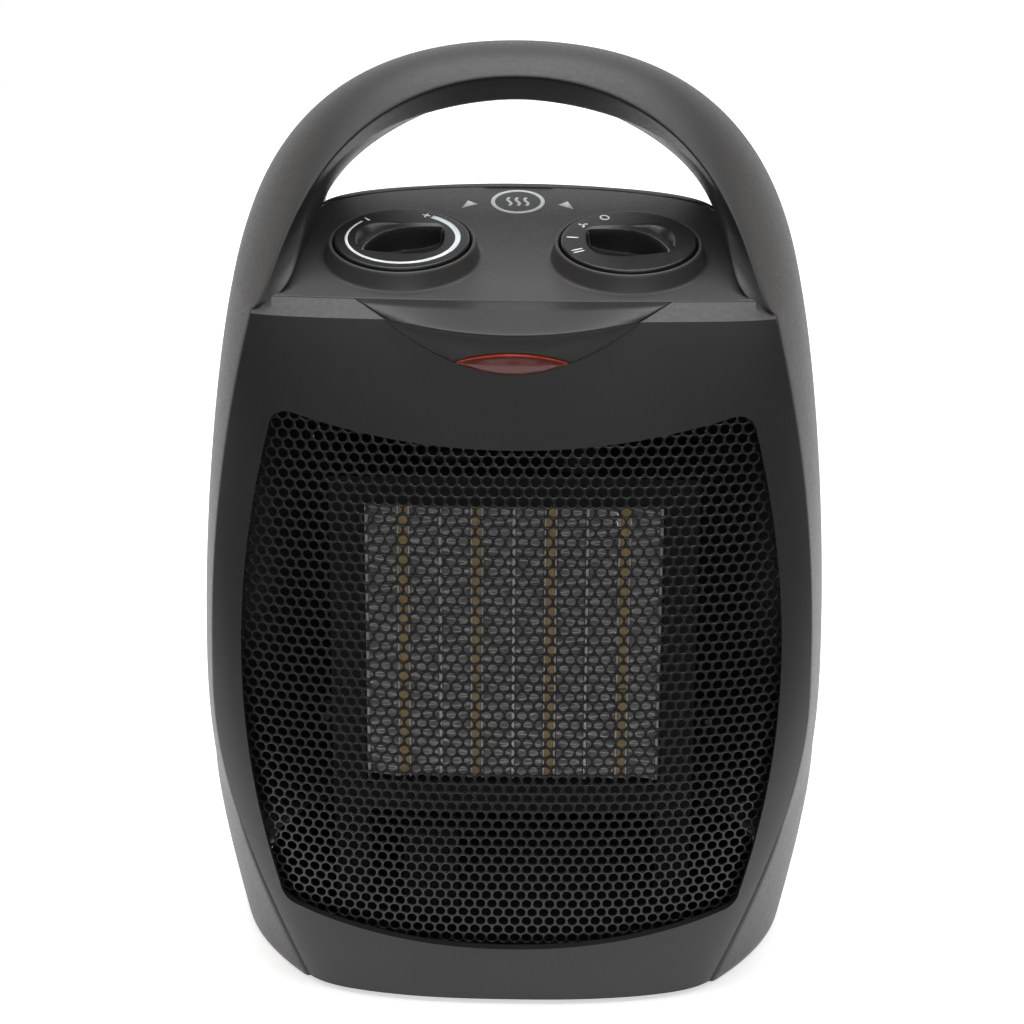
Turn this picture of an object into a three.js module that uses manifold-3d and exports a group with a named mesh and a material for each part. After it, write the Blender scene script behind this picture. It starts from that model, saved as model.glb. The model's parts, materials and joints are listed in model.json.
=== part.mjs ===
// Ceramic (PTC) fan heater with a carrying hoop, two dials on a sloping top panel
// and a curved front grille.
// Millimetres. +X to the right of a person who faces the front, +Z up, the front faces -Y.
// The origin is on the floor, at the middle of the object's width and depth.
import * as THREE from "three";
import { mergeVertices } from "three/addons/utils/BufferGeometryUtils.js";
import Module from "manifold-3d";

const wasm = await Module();
wasm.setup();

// ---- Driving dimensions ----
const HALF_WIDTH = 89.3;
const HEIGHT = 262;
const HALF_DEPTH = 73;
const WALL = 2.8;
const GAP = 0.3;

const BELLY_HEIGHT = 80;
const BELLY_Y = -71.5;
const HOUSING_BOTTOM = 1;
const FASCIA_BOTTOM = 1.5;
const PLATE_BOTTOM = 2;
const PLATE_TOP = 4.6;
const SHOULDER = 203;
const HOUSING_SEAM_Y = 2;

const LID_FRONT_Y = -55.3;
const LID_FRONT_Z = 205.8;
const LID_REAR_Y = 13.8;
const LID_FRONT_HALF_WIDTH = 64;
const LID_TILT = THREE.MathUtils.degToRad(9.5);
const BEVEL_TILT = THREE.MathUtils.degToRad(30);
const LID_REAR_Z = LID_FRONT_Z + (LID_REAR_Y - LID_FRONT_Y) * Math.tan(LID_TILT);

const GRILLE_HALF_WIDTH = 73.8;
const GRILLE_CORNER_X = 64.5;
const GRILLE_TOP = 176.5;
const GRILLE_TOP_SAG = 8.8;
const GRILLE_BOTTOM = 28;
const GRILLE_BOTTOM_SAG = 9.2;
const GRILLE_CORNER_RADIUS = 5;
const GRILLE_SHEET = 0.8;

const DIAL_X = 30.6;
const DIAL_Y = -30.2;
const COLLAR_BASE_RADIUS = 21;
const COLLAR_RIM_RADIUS = 19.9;
const COLLAR_HEIGHT = 5;
const WELL_RADIUS = 18.9;
const KNOB_RADIUS = 18.3;
const SHAFT_RADIUS = 3;
const SHAFT_TOP = 1.6;

const HEATER_Z = 94;
const HEATER_FRONT_Y = -27;
const HEATER_DEPTH = 14;
const HEATER_HEIGHT = 86.5;
const BAY_PITCH = 20.9;
const BAYS = 4;
const BAR_WIDTH = 3.6;
const PLATE_WIDTH = 0.8;
const FIN_FOLDS = 8;
const FIN_FOIL = 0.5;

// ---- Materials ----
function material(color, roughness, metalness = 0) {
  return new THREE.MeshStandardMaterial({ color, roughness, metalness });
}

const blackPlastic = material(0x2e2e30, 0.55);
const darkPlastic = material(0x1b1b1c, 0.7);
const rubber = material(0x141414, 0.9);
const redLens = material(0xa01812, 0.15);
const aluminium = material(0xb9bcbe, 0.35, 1);
const steel = material(0x9a9c9f, 0.4, 1);
const ceramic = material(0xb59a72, 0.6);
const copper = material(0xa8623a, 0.4, 1);
const brass = material(0xb08d4a, 0.35, 1);
const glass = material(0xd9d4cc, 0.1);
const nylon = material(0xd8d2c2, 0.6);

// ---- Helpers ----
const v2 = (x, y) => new THREE.Vector2(x, y);
const v3 = (x, y, z) => new THREE.Vector3(x, y, z);

// A closed three.js geometry as a manifold-3d solid.
function solid(geometry) {
  const bare = geometry.clone();
  bare.deleteAttribute("normal");
  bare.deleteAttribute("uv");
  const merged = mergeVertices(bare, 1e-4);
  const mesh = new wasm.Mesh({
    numProp: 3,
    vertProperties: merged.attributes.position.array,
    triVerts: new Uint32Array(merged.index.array),
  });
  return new wasm.Manifold(mesh);
}

// A manifold-3d solid as a three.js geometry.
function geometryOf(body) {
  const mesh = body.getMesh();
  const geometry = new THREE.BufferGeometry();
  const positions = new Float32Array(mesh.vertProperties);
  geometry.setAttribute("position", new THREE.BufferAttribute(positions, 3));
  geometry.setIndex(new THREE.BufferAttribute(new Uint32Array(mesh.triVerts), 1));
  geometry.computeVertexNormals();
  return geometry;
}

const union = (first, ...others) => others.reduce((sum, body) => sum.add(body), first);
const cut = (first, ...others) => others.reduce((rest, body) => rest.subtract(body), first);

const heater = new THREE.Group();

function add(name, shape, look) {
  const geometry = shape.isBufferGeometry ? shape : geometryOf(shape);
  const mesh = new THREE.Mesh(geometry, look);
  mesh.name = name;
  heater.add(mesh);
}

// Closed surface through rings of equally many points, each ring anticlockwise as seen from the ring after it.
function loft(rings) {
  const count = rings[0].length;
  const points = rings.flat();
  const index = [];
  for (let i = 0; i < rings.length - 1; i++) {
    for (let j = 0; j < count; j++) {
      const a = i * count + j;
      const b = i * count + ((j + 1) % count);
      index.push(a, b, b + count, a, b + count, a + count);
    }
  }
  const middle = (ring) => ring.reduce((sum, p) => sum.add(p), v3(0, 0, 0)).divideScalar(count);
  const last = (rings.length - 1) * count;
  const startMiddle = points.length;
  points.push(middle(rings[0]), middle(rings[rings.length - 1]));
  for (let j = 0; j < count; j++) {
    const next = (j + 1) % count;
    index.push(startMiddle, next, j);
    index.push(startMiddle + 1, last + j, last + next);
  }
  const geometry = new THREE.BufferGeometry().setFromPoints(points);
  geometry.setIndex(index);
  return solid(geometry);
}

function box(x0, x1, y0, y1, z0, z1) {
  const geometry = new THREE.BoxGeometry(x1 - x0, y1 - y0, z1 - z0);
  geometry.translate((x0 + x1) / 2, (y0 + y1) / 2, (z0 + z1) / 2);
  return solid(geometry);
}

// A flat outline in X and Z, pushed through from y0 to y1.
function prismAlongY(shape, y0, y1, curveSegments = 8) {
  const geometry = new THREE.ExtrudeGeometry(shape, { depth: y1 - y0, bevelEnabled: false, curveSegments });
  geometry.rotateX(Math.PI / 2);
  geometry.translate(0, y1, 0);
  return solid(geometry);
}

// A flat outline in Y and Z, pushed through from x0 to x1.
function prismAlongX(shape, x0, x1) {
  const geometry = new THREE.ExtrudeGeometry(shape, { depth: x1 - x0, bevelEnabled: false });
  geometry.applyMatrix4(new THREE.Matrix4().makeBasis(v3(0, 1, 0), v3(0, 0, 1), v3(1, 0, 0)));
  geometry.translate(x0, 0, 0);
  return solid(geometry);
}

// A flat outline in X and Y, pushed up from z0 to z1.
function prismUp(shape, z0, z1, curveSegments = 8) {
  const geometry = new THREE.ExtrudeGeometry(shape, { depth: z1 - z0, bevelEnabled: false, curveSegments });
  geometry.translate(0, 0, z0);
  return solid(geometry);
}

// A turned body about +Z: pairs of radius and height that start and end on the axis.
function turned(profile, segments = 24) {
  return solid(new THREE.LatheGeometry(profile.map(([r, z]) => v2(r, z)), segments).rotateX(Math.PI / 2));
}

// A solid cylinder about +Z, from z0 to z1.
const rod = (radius, z0, z1, segments = 16) => turned([[0, z0], [radius, z0], [radius, z1], [0, z1]], segments);

// The same body moved, after turning its +Z axis to another direction.
function placed(body, direction, x, y, z) {
  const geometry = geometryOf(body);
  const turn = new THREE.Quaternion().setFromUnitVectors(v3(0, 0, 1), direction);
  geometry.applyQuaternion(turn);
  geometry.translate(x, y, z);
  return solid(geometry);
}

// A Bezier curve with any number of control points.
class Bezier extends THREE.Curve {
  constructor(...points) {
    super();
    this.points = points;
  }

  getPoint(t) {
    let row = this.points;
    while (row.length > 1) {
      const before = row;
      row = before.slice(1).map((point, i) => before[i].clone().lerp(point, t));
    }
    return row[0];
  }
}

// A curve that climbs in its second coordinate, read as a distance at a height.
function profile(...stretches) {
  const curves = stretches.map((points) => new Bezier(...points.map(([a, b]) => v2(a, b))));
  return (height) => {
    const curve = curves.find((one) => height <= one.points.at(-1).y) ?? curves[curves.length - 1];
    let low = 0;
    let high = 1;
    for (let step = 0; step < 40; step++) {
      const middle = (low + high) / 2;
      if (curve.getPoint(middle).y < height) low = middle;
      else high = middle;
    }
    return curve.getPoint(low).x;
  };
}

// ---- The outer form ----
// The hoop's edges, from the shoulder up to the crown, on the +X side.
const crest = new Bezier(
  v3(78.1, 0, SHOULDER), v3(70.2, 0, 235), v3(50, 0, HEIGHT), v3(0, 0, HEIGHT));
const frontRidge = new Bezier(
  v3(69, -55.5, SHOULDER), v3(61.8, -56, 208.4), v3(61.9, -20, 238.4),
  v3(32.5, -15.5, 256.3), v3(0, -15.5, 256.3));
const rearRidge = new Bezier(
  v3(69, 26, SHOULDER), v3(62, 22, 228), v3(48, 17, 256), v3(0, 17, 256));
const frontInner = new Bezier(
  v3(64.3, -54, 204.8), v3(45.9, -47.5, 214.1), v3(77.7, 0.6, 230.6), v3(25.1, -5, 247.3), v3(0, -5, 247.3));
const rearInner = new Bezier(
  v3(54.7, 22, 204), v3(62.4, 18, 223.2), v3(17.4, 8, 247.3), v3(0, 8, 247.3));

const flatten = (curve) => curve.points.map((p) => [p.x, p.z]);
const halfWidth = profile(
  [[79.6, 0], [83.3, 18], [HALF_WIDTH, 50], [HALF_WIDTH, BELLY_HEIGHT]],
  [[HALF_WIDTH, BELLY_HEIGHT], [HALF_WIDTH, 123], [85.5, 172], [78.1, SHOULDER]],
  flatten(crest));
const fasciaHalfWidth = profile(
  [[57, 0], [70.5, 30], [82.4, 62], [82.4, 92]],
  [[82.4, 92], [82.4, 135], [78.5, 163], [69, SHOULDER]],
  flatten(frontRidge));
const rearDepth = profile(
  [[66, 0], [70, 20], [HALF_DEPTH, 50], [HALF_DEPTH, BELLY_HEIGHT]],
  [[HALF_DEPTH, BELLY_HEIGHT], [HALF_DEPTH, 130], [45, 206], [16, 217.4]]);
const innerHalfWidth = profile(flatten(rearInner));

// The front face: bowed both ways, more strongly towards its foot, and rounded off at its sides.
const UPPER_BOW_RADIUS = 760;
const LOWER_BOW_RADIUS = 1150;
const SIDE_ROUNDING = 3;
const TOP_FLATTENING = 0.55;

function frontY(x, z) {
  const radius = z > BELLY_HEIGHT ? UPPER_BOW_RADIUS : LOWER_BOW_RADIUS;
  const centre = BELLY_Y + (z - BELLY_HEIGHT) ** 2 / (2 * radius);
  const foot = Math.max(0, 1 - z / 115);
  const sag = (7 + 8 * foot ** 2) * (Math.abs(x) / 70) ** 2.6;
  const rounding = SIDE_ROUNDING * (Math.abs(x) / fasciaHalfWidth(z)) ** 14;
  return centre + (sag + rounding) * (1 - TOP_FLATTENING * THREE.MathUtils.smoothstep(z, 150, SHOULDER));
}

const FLANK_BOW = 2.2;
const REAR_SQUARENESS = 2.8;
const FRONT_STEPS = 10;
const FLANK_STEPS = 3;
const REAR_STEPS = 10;

// One horizontal section of the body, anticlockwise from above, with its wall moved in by inset.
function bodySection(z, inset) {
  const edge = fasciaHalfWidth(z) - inset;
  const side = halfWidth(z) - inset;
  const back = rearDepth(z) - inset;
  const edgeY = frontY(edge, z) + inset;
  const ring = [];
  for (let i = 0; i <= FRONT_STEPS; i++) {
    const x = edge * Math.sin(((i / FRONT_STEPS) * 2 - 1) * Math.PI / 2);
    ring.push(v3(x, frontY(x, z) + inset, z));
  }
  const flank = (t) => [side - (side - edge) * t ** FLANK_BOW, edgeY * t];
  for (let i = FLANK_STEPS - 1; i >= 1; i--) {
    const [x, y] = flank(i / FLANK_STEPS);
    ring.push(v3(x, y, z));
  }
  for (let i = 0; i <= REAR_STEPS; i++) {
    const angle = (i / REAR_STEPS) * Math.PI;
    const across = Math.sign(Math.cos(angle)) * Math.abs(Math.cos(angle)) ** (2 / REAR_SQUARENESS);
    ring.push(v3(side * across, back * Math.sin(angle) ** (2 / REAR_SQUARENESS), z));
  }
  for (let i = 1; i < FLANK_STEPS; i++) {
    const [x, y] = flank(i / FLANK_STEPS);
    ring.push(v3(-x, y, z));
  }
  return ring;
}

const levels = (low, high, count) => Array.from({ length: count + 1 }, (_, i) => low + ((high - low) * i) / count);

// The crown between the hoop's arms, which carries the top panel and rolls down to the back.
const CROWN_BOTTOM = 196;
const ARM_BITE = 1.5;
const CROWN_FRONT_SIDE = 67;
const CROWN_MIDDLE_SIDE = 60.5;
const CROWN_MIDDLE_Y = -20;
const CROWN_SQUARENESS = 2;

function crownSection(z, inset) {
  const side = innerHalfWidth(Math.max(z, 204)) + ARM_BITE - inset;
  const back = rearDepth(z) - inset;
  const front = LID_FRONT_Y - 1.5 + inset;
  const frontSide = CROWN_FRONT_SIDE - inset;
  const middleSide = CROWN_MIDDLE_SIDE - inset;
  const ring = [v3(-frontSide, front, z), v3(frontSide, front, z), v3(middleSide, CROWN_MIDDLE_Y, z)];
  for (let i = 0; i <= REAR_STEPS; i++) {
    const angle = (i / REAR_STEPS) * Math.PI;
    const across = Math.sign(Math.cos(angle)) * Math.abs(Math.cos(angle)) ** (2 / CROWN_SQUARENESS);
    ring.push(v3(side * across, back * Math.sin(angle) ** (2 / CROWN_SQUARENESS), z));
  }
  ring.push(v3(-middleSide, CROWN_MIDDLE_Y, z));
  return ring;
}

// Everything under the bevel and the sloping lid, seen from the side.
function underLid(inset) {
  const front = -100;
  const rear = 100;
  const drop = inset / Math.cos(LID_TILT);
  const bevelDrop = inset / Math.cos(BEVEL_TILT);
  const corner = LID_FRONT_Y + inset * 0.2;
  const shape = new THREE.Shape([
    v2(front, -20),
    v2(rear, -20),
    v2(rear, LID_REAR_Z - drop + (rear - LID_REAR_Y) * Math.tan(LID_TILT)),
    v2(corner, LID_FRONT_Z - drop + (corner - LID_FRONT_Y) * Math.tan(LID_TILT)),
    v2(front, LID_FRONT_Z - bevelDrop + (front - LID_FRONT_Y) * Math.tan(BEVEL_TILT)),
  ]);
  return prismAlongX(shape, -100, 100);
}

const BODY_TOP = 206.5;
const CROWN_TOP = 217.4;
const BODY_LEVELS = 10;
const CROWN_LEVELS = 3;

function bodyForm(inset) {
  const bottom = inset > 0 ? -5 : HOUSING_BOTTOM;
  const main = loft(levels(bottom, BODY_TOP - inset, BODY_LEVELS).map((z) => bodySection(z, inset)));
  const crown = loft(levels(CROWN_BOTTOM, CROWN_TOP - inset, CROWN_LEVELS).map((z) => crownSection(z, inset)));
  return union(main, crown).intersect(underLid(inset));
}

const shell = cut(bodyForm(0), bodyForm(WALL));

// ---- The hoop: one arm up, over the crown and down the other arm ----
const HOOP_STATIONS = 7;
const HOOP_FLANK_STEPS = 3;

function hoopRing(t, side) {
  const mid = crest.getPoint(t);
  const front = frontRidge.getPoint(t);
  const rear = rearRidge.getPoint(t);
  const flank = (edge, s) => v3(
    mid.x + (edge.x - mid.x) * s ** FLANK_BOW,
    mid.y + (edge.y - mid.y) * s,
    mid.z + (edge.z - mid.z) * s ** FLANK_BOW);
  const ring = [];
  for (let i = HOOP_FLANK_STEPS; i > 0; i--) ring.push(flank(front, i / HOOP_FLANK_STEPS));
  ring.push(mid);
  for (let i = 1; i <= HOOP_FLANK_STEPS; i++) ring.push(flank(rear, i / HOOP_FLANK_STEPS));
  ring.push(rearInner.getPoint(t), frontInner.getPoint(t));
  ring.forEach((p) => p.setX(p.x * side));
  return ring;
}

// The arm's root, sunk into the housing wall below the shoulder.
const ROOT_DROP = 12;
function rootRing(side) {
  const ring = hoopRing(0, side);
  const middle = ring.reduce((sum, p) => sum.add(p), v3(0, 0, 0)).divideScalar(ring.length);
  return ring.map((p) => p.lerp(middle, 0.12).setZ(p.z - ROOT_DROP));
}

const rightRings = levels(0, 1, HOOP_STATIONS).map((t) => hoopRing(t, 1));
const leftRings = levels(0, 1, HOOP_STATIONS).map((t) => hoopRing(t, -1)).reverse();
const hoop = loft([rootRing(1), ...rightRings, ...leftRings.slice(1), rootRing(-1)]);

// ---- Regions that the front panel and the top panel take out of the form ----
const FASCIA_LIP_Y = -38;
const FASCIA_STEPS = 10;

function fasciaRegion(grow) {
  const outline = levels(FASCIA_BOTTOM - grow, SHOULDER, FASCIA_STEPS).map((z) => v2(fasciaHalfWidth(z) + grow, z));
  outline.push(v2(fasciaHalfWidth(SHOULDER) + grow, LID_FRONT_Z + 10));
  const mirrored = outline.map((p) => v2(-p.x, p.y)).reverse();
  const across = prismAlongY(new THREE.Shape([...outline, ...mirrored]), -100, 0);
  const side = new THREE.Shape([
    v2(-100, FASCIA_BOTTOM - grow - 1),
    v2(FASCIA_LIP_Y + grow, FASCIA_BOTTOM - grow - 1),
    v2(FASCIA_LIP_Y + grow, 198 + grow),
    v2(LID_FRONT_Y - GAP + grow, 198 + grow),
    v2(LID_FRONT_Y - GAP + grow, 230),
    v2(-100, 230),
  ]);
  return across.intersect(prismAlongX(side, -100, 100));
}

function lidOutline(grow) {
  const front = LID_FRONT_Y - grow;
  const shape = new THREE.Shape();
  const corner = LID_FRONT_HALF_WIDTH + grow;
  const side = 56 + grow;
  const rear = LID_REAR_Y + grow;
  shape.moveTo(-corner, front);
  shape.lineTo(corner, front);
  shape.bezierCurveTo(59.5 + grow, -40, 57.5 + grow, -28, side, -3);
  shape.bezierCurveTo(54 + grow, 7, 32, rear, 0, rear);
  shape.bezierCurveTo(-32, rear, -54 - grow, 7, -side, -3);
  shape.bezierCurveTo(-57.5 - grow, -28, -59.5 - grow, -40, -corner, front);
  return shape;
}

// The top panel's own room: inside its outline, and no higher than its face.
const lidRegion = (grow) => prismUp(lidOutline(grow), 202, 240, 6).intersect(underLid(-grow));

// ---- Front panel: face, bevel, visor, grille opening and lens pocket ----
function grilleOutline(grow) {
  const r = GRILLE_CORNER_RADIUS;
  const corner = GRILLE_CORNER_X + grow;
  const top = GRILLE_TOP + grow;
  const bottom = GRILLE_BOTTOM - grow;
  const bulge = 2 * (GRILLE_HALF_WIDTH + grow) - corner;
  const middle = (GRILLE_TOP + GRILLE_BOTTOM) / 2;
  const shape = new THREE.Shape();
  shape.moveTo(-corner + r, top);
  shape.quadraticCurveTo(-corner, top, -corner - 0.6, top - r);
  shape.quadraticCurveTo(-bulge, middle, -corner - 0.6, bottom + r);
  shape.quadraticCurveTo(-corner, bottom, -corner + r, bottom - 0.8);
  shape.quadraticCurveTo(0, bottom - 2 * GRILLE_BOTTOM_SAG, corner - r, bottom - 0.8);
  shape.quadraticCurveTo(corner, bottom, corner + 0.6, bottom + r);
  shape.quadraticCurveTo(bulge, middle, corner + 0.6, top - r);
  shape.quadraticCurveTo(corner, top, corner - r, top);
  shape.quadraticCurveTo(0, top - 2 * GRILLE_TOP_SAG, -corner + r, top);
  return shape;
}

const VISOR_HALF_WIDTH = 33;
const VISOR_LIP_Y = -HALF_DEPTH;
const VISOR_LIP_Z = 202;
const SCOOP_BOTTOM_Z = 188;
const SCOOP_TOP_Z = 201.6;
const VISOR_STATIONS = 8;

// One upright slice of the visor: top edge, lip, foot of the scoop and two points inside the wall.
function visorSlice(x) {
  const t = Math.abs(x) / VISOR_HALF_WIDTH;
  const footZ = SCOOP_BOTTOM_Z + (SCOOP_TOP_Z - SCOOP_BOTTOM_Z) * t ** 1.9;
  const footY = frontY(x, footZ) + 0.4;
  const edgeY = frontY(VISOR_HALF_WIDTH, VISOR_LIP_Z) + 0.5;
  const lipY = VISOR_LIP_Y + (edgeY - VISOR_LIP_Y) * t ** 2;
  return [
    v3(x, LID_FRONT_Y - 1.2, LID_FRONT_Z - 0.8),
    v3(x, lipY, VISOR_LIP_Z + 0.4 * t ** 2),
    v3(x, footY, footZ),
    v3(x, footY + 1.6, footZ),
  ];
}

const visor = loft(levels(-VISOR_HALF_WIDTH, VISOR_HALF_WIDTH, VISOR_STATIONS).map(visorSlice));

const LENS_HALF_WIDTH = 15.3;
const LENS_TIP_Z = 191.2;
const LENS_TOP_Z = 195;
const LENS_BOTTOM_Z = 188;

function eye(grow) {
  const shape = new THREE.Shape();
  shape.moveTo(-LENS_HALF_WIDTH - grow, LENS_TIP_Z);
  shape.quadraticCurveTo(0, 2 * LENS_BOTTOM_Z - LENS_TIP_Z - 2 * grow, LENS_HALF_WIDTH + grow, LENS_TIP_Z);
  shape.quadraticCurveTo(0, 2 * LENS_TOP_Z - LENS_TIP_Z + 2 * grow, -LENS_HALF_WIDTH - grow, LENS_TIP_Z);
  return shape;
}

function makeFrontPanel() {
  const face = union(shell.intersect(fasciaRegion(0)), visor);
  const opening = prismAlongY(grilleOutline(0), -90, -40);
  const pocket = prismAlongY(eye(GAP), -90, -40);
  return cut(face, opening, pocket);
}

// ---- Front grille: a curved sheet behind the opening, with windows for its perforation ----
const GRILLE_COLUMNS = 5;
const GRILLE_ROWS = 5;
const GRILLE_LEVELS = 5;
const GRILLE_BAR = 2;
const GRILLE_MARGIN = 2.5;

// A skin that follows the front face, from near to far behind it.
function frontSkin(near, far) {
  const section = (z) => {
    const half = fasciaHalfWidth(z) - WALL - 1;
    const xs = levels(-half, half, GRILLE_COLUMNS + 1);
    const outer = xs.map((x) => v3(x, frontY(x, z) + near, z));
    const inner = xs.map((x) => v3(x, frontY(x, z) + far, z)).reverse();
    return [...outer, ...inner];
  };
  return loft(levels(10, 190, GRILLE_LEVELS).map(section));
}

function makeGrille() {
  const near = WALL + GAP;
  const skin = frontSkin(near, near + GRILLE_SHEET);
  const sheet = skin.intersect(prismAlongY(grilleOutline(GRILLE_MARGIN), -90, -30));
  const left = -GRILLE_HALF_WIDTH + 5;
  const bottom = GRILLE_BOTTOM - 6;
  const pitchX = (GRILLE_HALF_WIDTH - 5) * 2 / GRILLE_COLUMNS;
  const pitchZ = (GRILLE_TOP - bottom) / GRILLE_ROWS;
  const windows = [];
  for (let column = 0; column < GRILLE_COLUMNS; column++) {
    for (let row = 0; row < GRILLE_ROWS; row++) {
      const x = left + column * pitchX + GRILLE_BAR / 2;
      const z = bottom + row * pitchZ + GRILLE_BAR / 2;
      windows.push(box(x, x + pitchX - GRILLE_BAR, -90, -30, z, z + pitchZ - GRILLE_BAR));
    }
  }
  const inside = prismAlongY(grilleOutline(-1.5), -90, -30);
  return cut(sheet, union(...windows).intersect(inside));
}

// ---- Housings: the shell and hoop, parted at a seam across the handle ----
const INTAKE_Z = 100;
const INTAKE_HALF_WIDTH = 46;
const INTAKE_HALF_HEIGHT = 52;
const SLOTS = 8;
const SLOT_HEIGHT = 6;
const INLET_X = -48;
const INLET_Z = 22;
const INLET_RADIUS = 6;
const SCREW_X = 60;
const SCREW_LOW_Z = 34;
const SCREW_HIGH_Z = 160;
const SCREW_HEAD_RADIUS = 3.6;
const BACKWARD = v3(0, 1, 0);

function intakeSlots() {
  const pitch = (2 * INTAKE_HALF_HEIGHT) / SLOTS;
  const slots = [];
  for (let i = 0; i < SLOTS; i++) {
    const z = INTAKE_Z - INTAKE_HALF_HEIGHT + pitch * (i + 0.5);
    const half = INTAKE_HALF_WIDTH * Math.sqrt(1 - ((z - INTAKE_Z) / (INTAKE_HALF_HEIGHT * 1.25)) ** 2);
    slots.push(box(-half, -1.5, 40, 90, z - SLOT_HEIGHT / 2, z + SLOT_HEIGHT / 2));
    slots.push(box(1.5, half, 40, 90, z - SLOT_HEIGHT / 2, z + SLOT_HEIGHT / 2));
  }
  return union(...slots);
}

const screwPlaces = [-1, 1].flatMap((side) => [SCREW_LOW_Z, SCREW_HIGH_Z].map((z) => [side * SCREW_X, z]));

// How far back the rear wall's outer face is at a point of it, or a face moved in from it by inset.
function rearY(x, z, inset = 0) {
  const across = Math.abs(x) / (halfWidth(z) - inset);
  return (rearDepth(z) - inset) * (1 - across ** REAR_SQUARENESS) ** (1 / REAR_SQUARENESS);
}

const housings = cut(union(shell, hoop), fasciaRegion(GAP), lidRegion(GAP));

function makeFrontHousing() {
  return housings.intersect(box(-100, 100, -100, HOUSING_SEAM_Y - GAP / 2, -10, 270));
}

function makeRearHousing() {
  const rear = housings.intersect(box(-100, 100, HOUSING_SEAM_Y + GAP / 2, 100, -10, 270));
  const screwHoles = screwPlaces.map(([x, z]) =>
    placed(rod(SCREW_HEAD_RADIUS + GAP, -8, 20), BACKWARD, x, rearY(x, z), z));
  const inlet = placed(rod(INLET_RADIUS + GAP, -20, 20), BACKWARD, INLET_X, rearY(INLET_X, INLET_Z), INLET_Z);
  return cut(rear, intakeSlots(), inlet, ...screwHoles);
}

// ---- Top panel with the two knob collars ----
const lidNormal = v3(0, -Math.sin(LID_TILT), Math.cos(LID_TILT));
const dialPlaces = { thermostat: -DIAL_X, selector: DIAL_X };
const dialZ = LID_FRONT_Z + (DIAL_Y - LID_FRONT_Y) * Math.tan(LID_TILT);
const WELL_FLOOR = 1;

// A body drawn about +Z on the lid's plane, set on a dial's place.
const onDial = (body, x) => placed(body, lidNormal, x, DIAL_Y, dialZ);

function makeTopPanel() {
  const plate = shell.intersect(lidRegion(0));
  const collar = turned([
    [0, -WALL], [COLLAR_BASE_RADIUS, -WALL], [COLLAR_BASE_RADIUS, 0.3],
    [COLLAR_RIM_RADIUS + 0.3, COLLAR_HEIGHT - 0.3], [COLLAR_RIM_RADIUS - 0.2, COLLAR_HEIGHT], [0, COLLAR_HEIGHT],
  ], 28);
  const well = rod(WELL_RADIUS, WELL_FLOOR - WALL + 1, 20, 28);
  const shaftHole = rod(SHAFT_RADIUS + 0.6, -20, 20);
  const dials = Object.values(dialPlaces);
  const collars = dials.map((x) => onDial(collar, x));
  const wells = dials.map((x) => onDial(union(well, shaftHole), x));
  return cut(union(plate, ...collars), ...wells);
}

// ---- Knobs: a disc with a grip ridge left between two scoops ----
const KNOB_TOP = COLLAR_HEIGHT + 0.8;
const KNOB_BOTTOM = 0;
const SCOOP_OFFSET = 7.6;
const SCOOP_DEPTH = 3.6;
const GRIP_REACH = 11.6;
const GRIP_HEIGHT = 3.3;
const GRIP_HALF_WIDTH = 1.4;
const GRIP_ANGLES = { thermostat: THREE.MathUtils.degToRad(35), selector: THREE.MathUtils.degToRad(149) };

function makeKnob(name) {
  const disc = turned([
    [0, KNOB_BOTTOM], [KNOB_RADIUS, KNOB_BOTTOM], [KNOB_RADIUS, KNOB_TOP - 0.8],
    [KNOB_RADIUS - 0.8, KNOB_TOP], [0, KNOB_TOP],
  ], 28);
  const scoop = new THREE.Shape();
  scoop.moveTo(-11, 2.2);
  scoop.quadraticCurveTo(0, 2.2, 11, 2.2);
  scoop.quadraticCurveTo(0, 2 * SCOOP_OFFSET + 2.2, -11, 2.2);
  const hollow = new THREE.ExtrudeGeometry(scoop, { depth: 10, bevelEnabled: false, curveSegments: 5 });
  hollow.translate(0, 0, KNOB_TOP - SCOOP_DEPTH);
  const hollows = [0, Math.PI].map((turn) => solid(hollow.clone().rotateZ(turn + GRIP_ANGLES[name])));
  const socket = rod(SHAFT_RADIUS + 0.3, -1, SHAFT_TOP + 0.3);
  const arch = new THREE.Shape();
  arch.moveTo(-GRIP_REACH, KNOB_TOP - 1);
  arch.lineTo(GRIP_REACH, KNOB_TOP - 1);
  arch.lineTo(GRIP_REACH, KNOB_TOP);
  arch.quadraticCurveTo(0, KNOB_TOP + 2 * GRIP_HEIGHT, -GRIP_REACH, KNOB_TOP);
  const grip = prismAlongY(arch, -GRIP_HALF_WIDTH, GRIP_HALF_WIDTH);
  const turnedGrip = grip.rotate([0, 0, THREE.MathUtils.radToDeg(GRIP_ANGLES[name])]);
  return onDial(union(cut(disc, ...hollows, socket), turnedGrip), dialPlaces[name]);
}

// ---- Controls under the top panel ----
const SHAFT_BOTTOM = -9;
const BODY_DROP = -6;

function makeShaft(name) {
  return onDial(rod(SHAFT_RADIUS, SHAFT_BOTTOM, SHAFT_TOP, 16), dialPlaces[name]);
}

function makeThermostatBody() {
  const body = union(box(-15, 15, -11, 11, BODY_DROP - 9, BODY_DROP), box(-6, 6, -6, 6, BODY_DROP - 13, BODY_DROP - 8));
  const bore = rod(SHAFT_RADIUS + 0.4, SHAFT_BOTTOM - 0.5, 0);
  return onDial(cut(body, bore), dialPlaces.thermostat);
}

function makeSelectorBody() {
  const body = union(rod(14, BODY_DROP - 14, BODY_DROP, 24), box(-16, 16, -4, 4, BODY_DROP - 11, BODY_DROP - 7));
  const bore = rod(SHAFT_RADIUS + 0.4, SHAFT_BOTTOM - 0.5, 0);
  return onDial(cut(body, bore), dialPlaces.selector);
}

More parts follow.
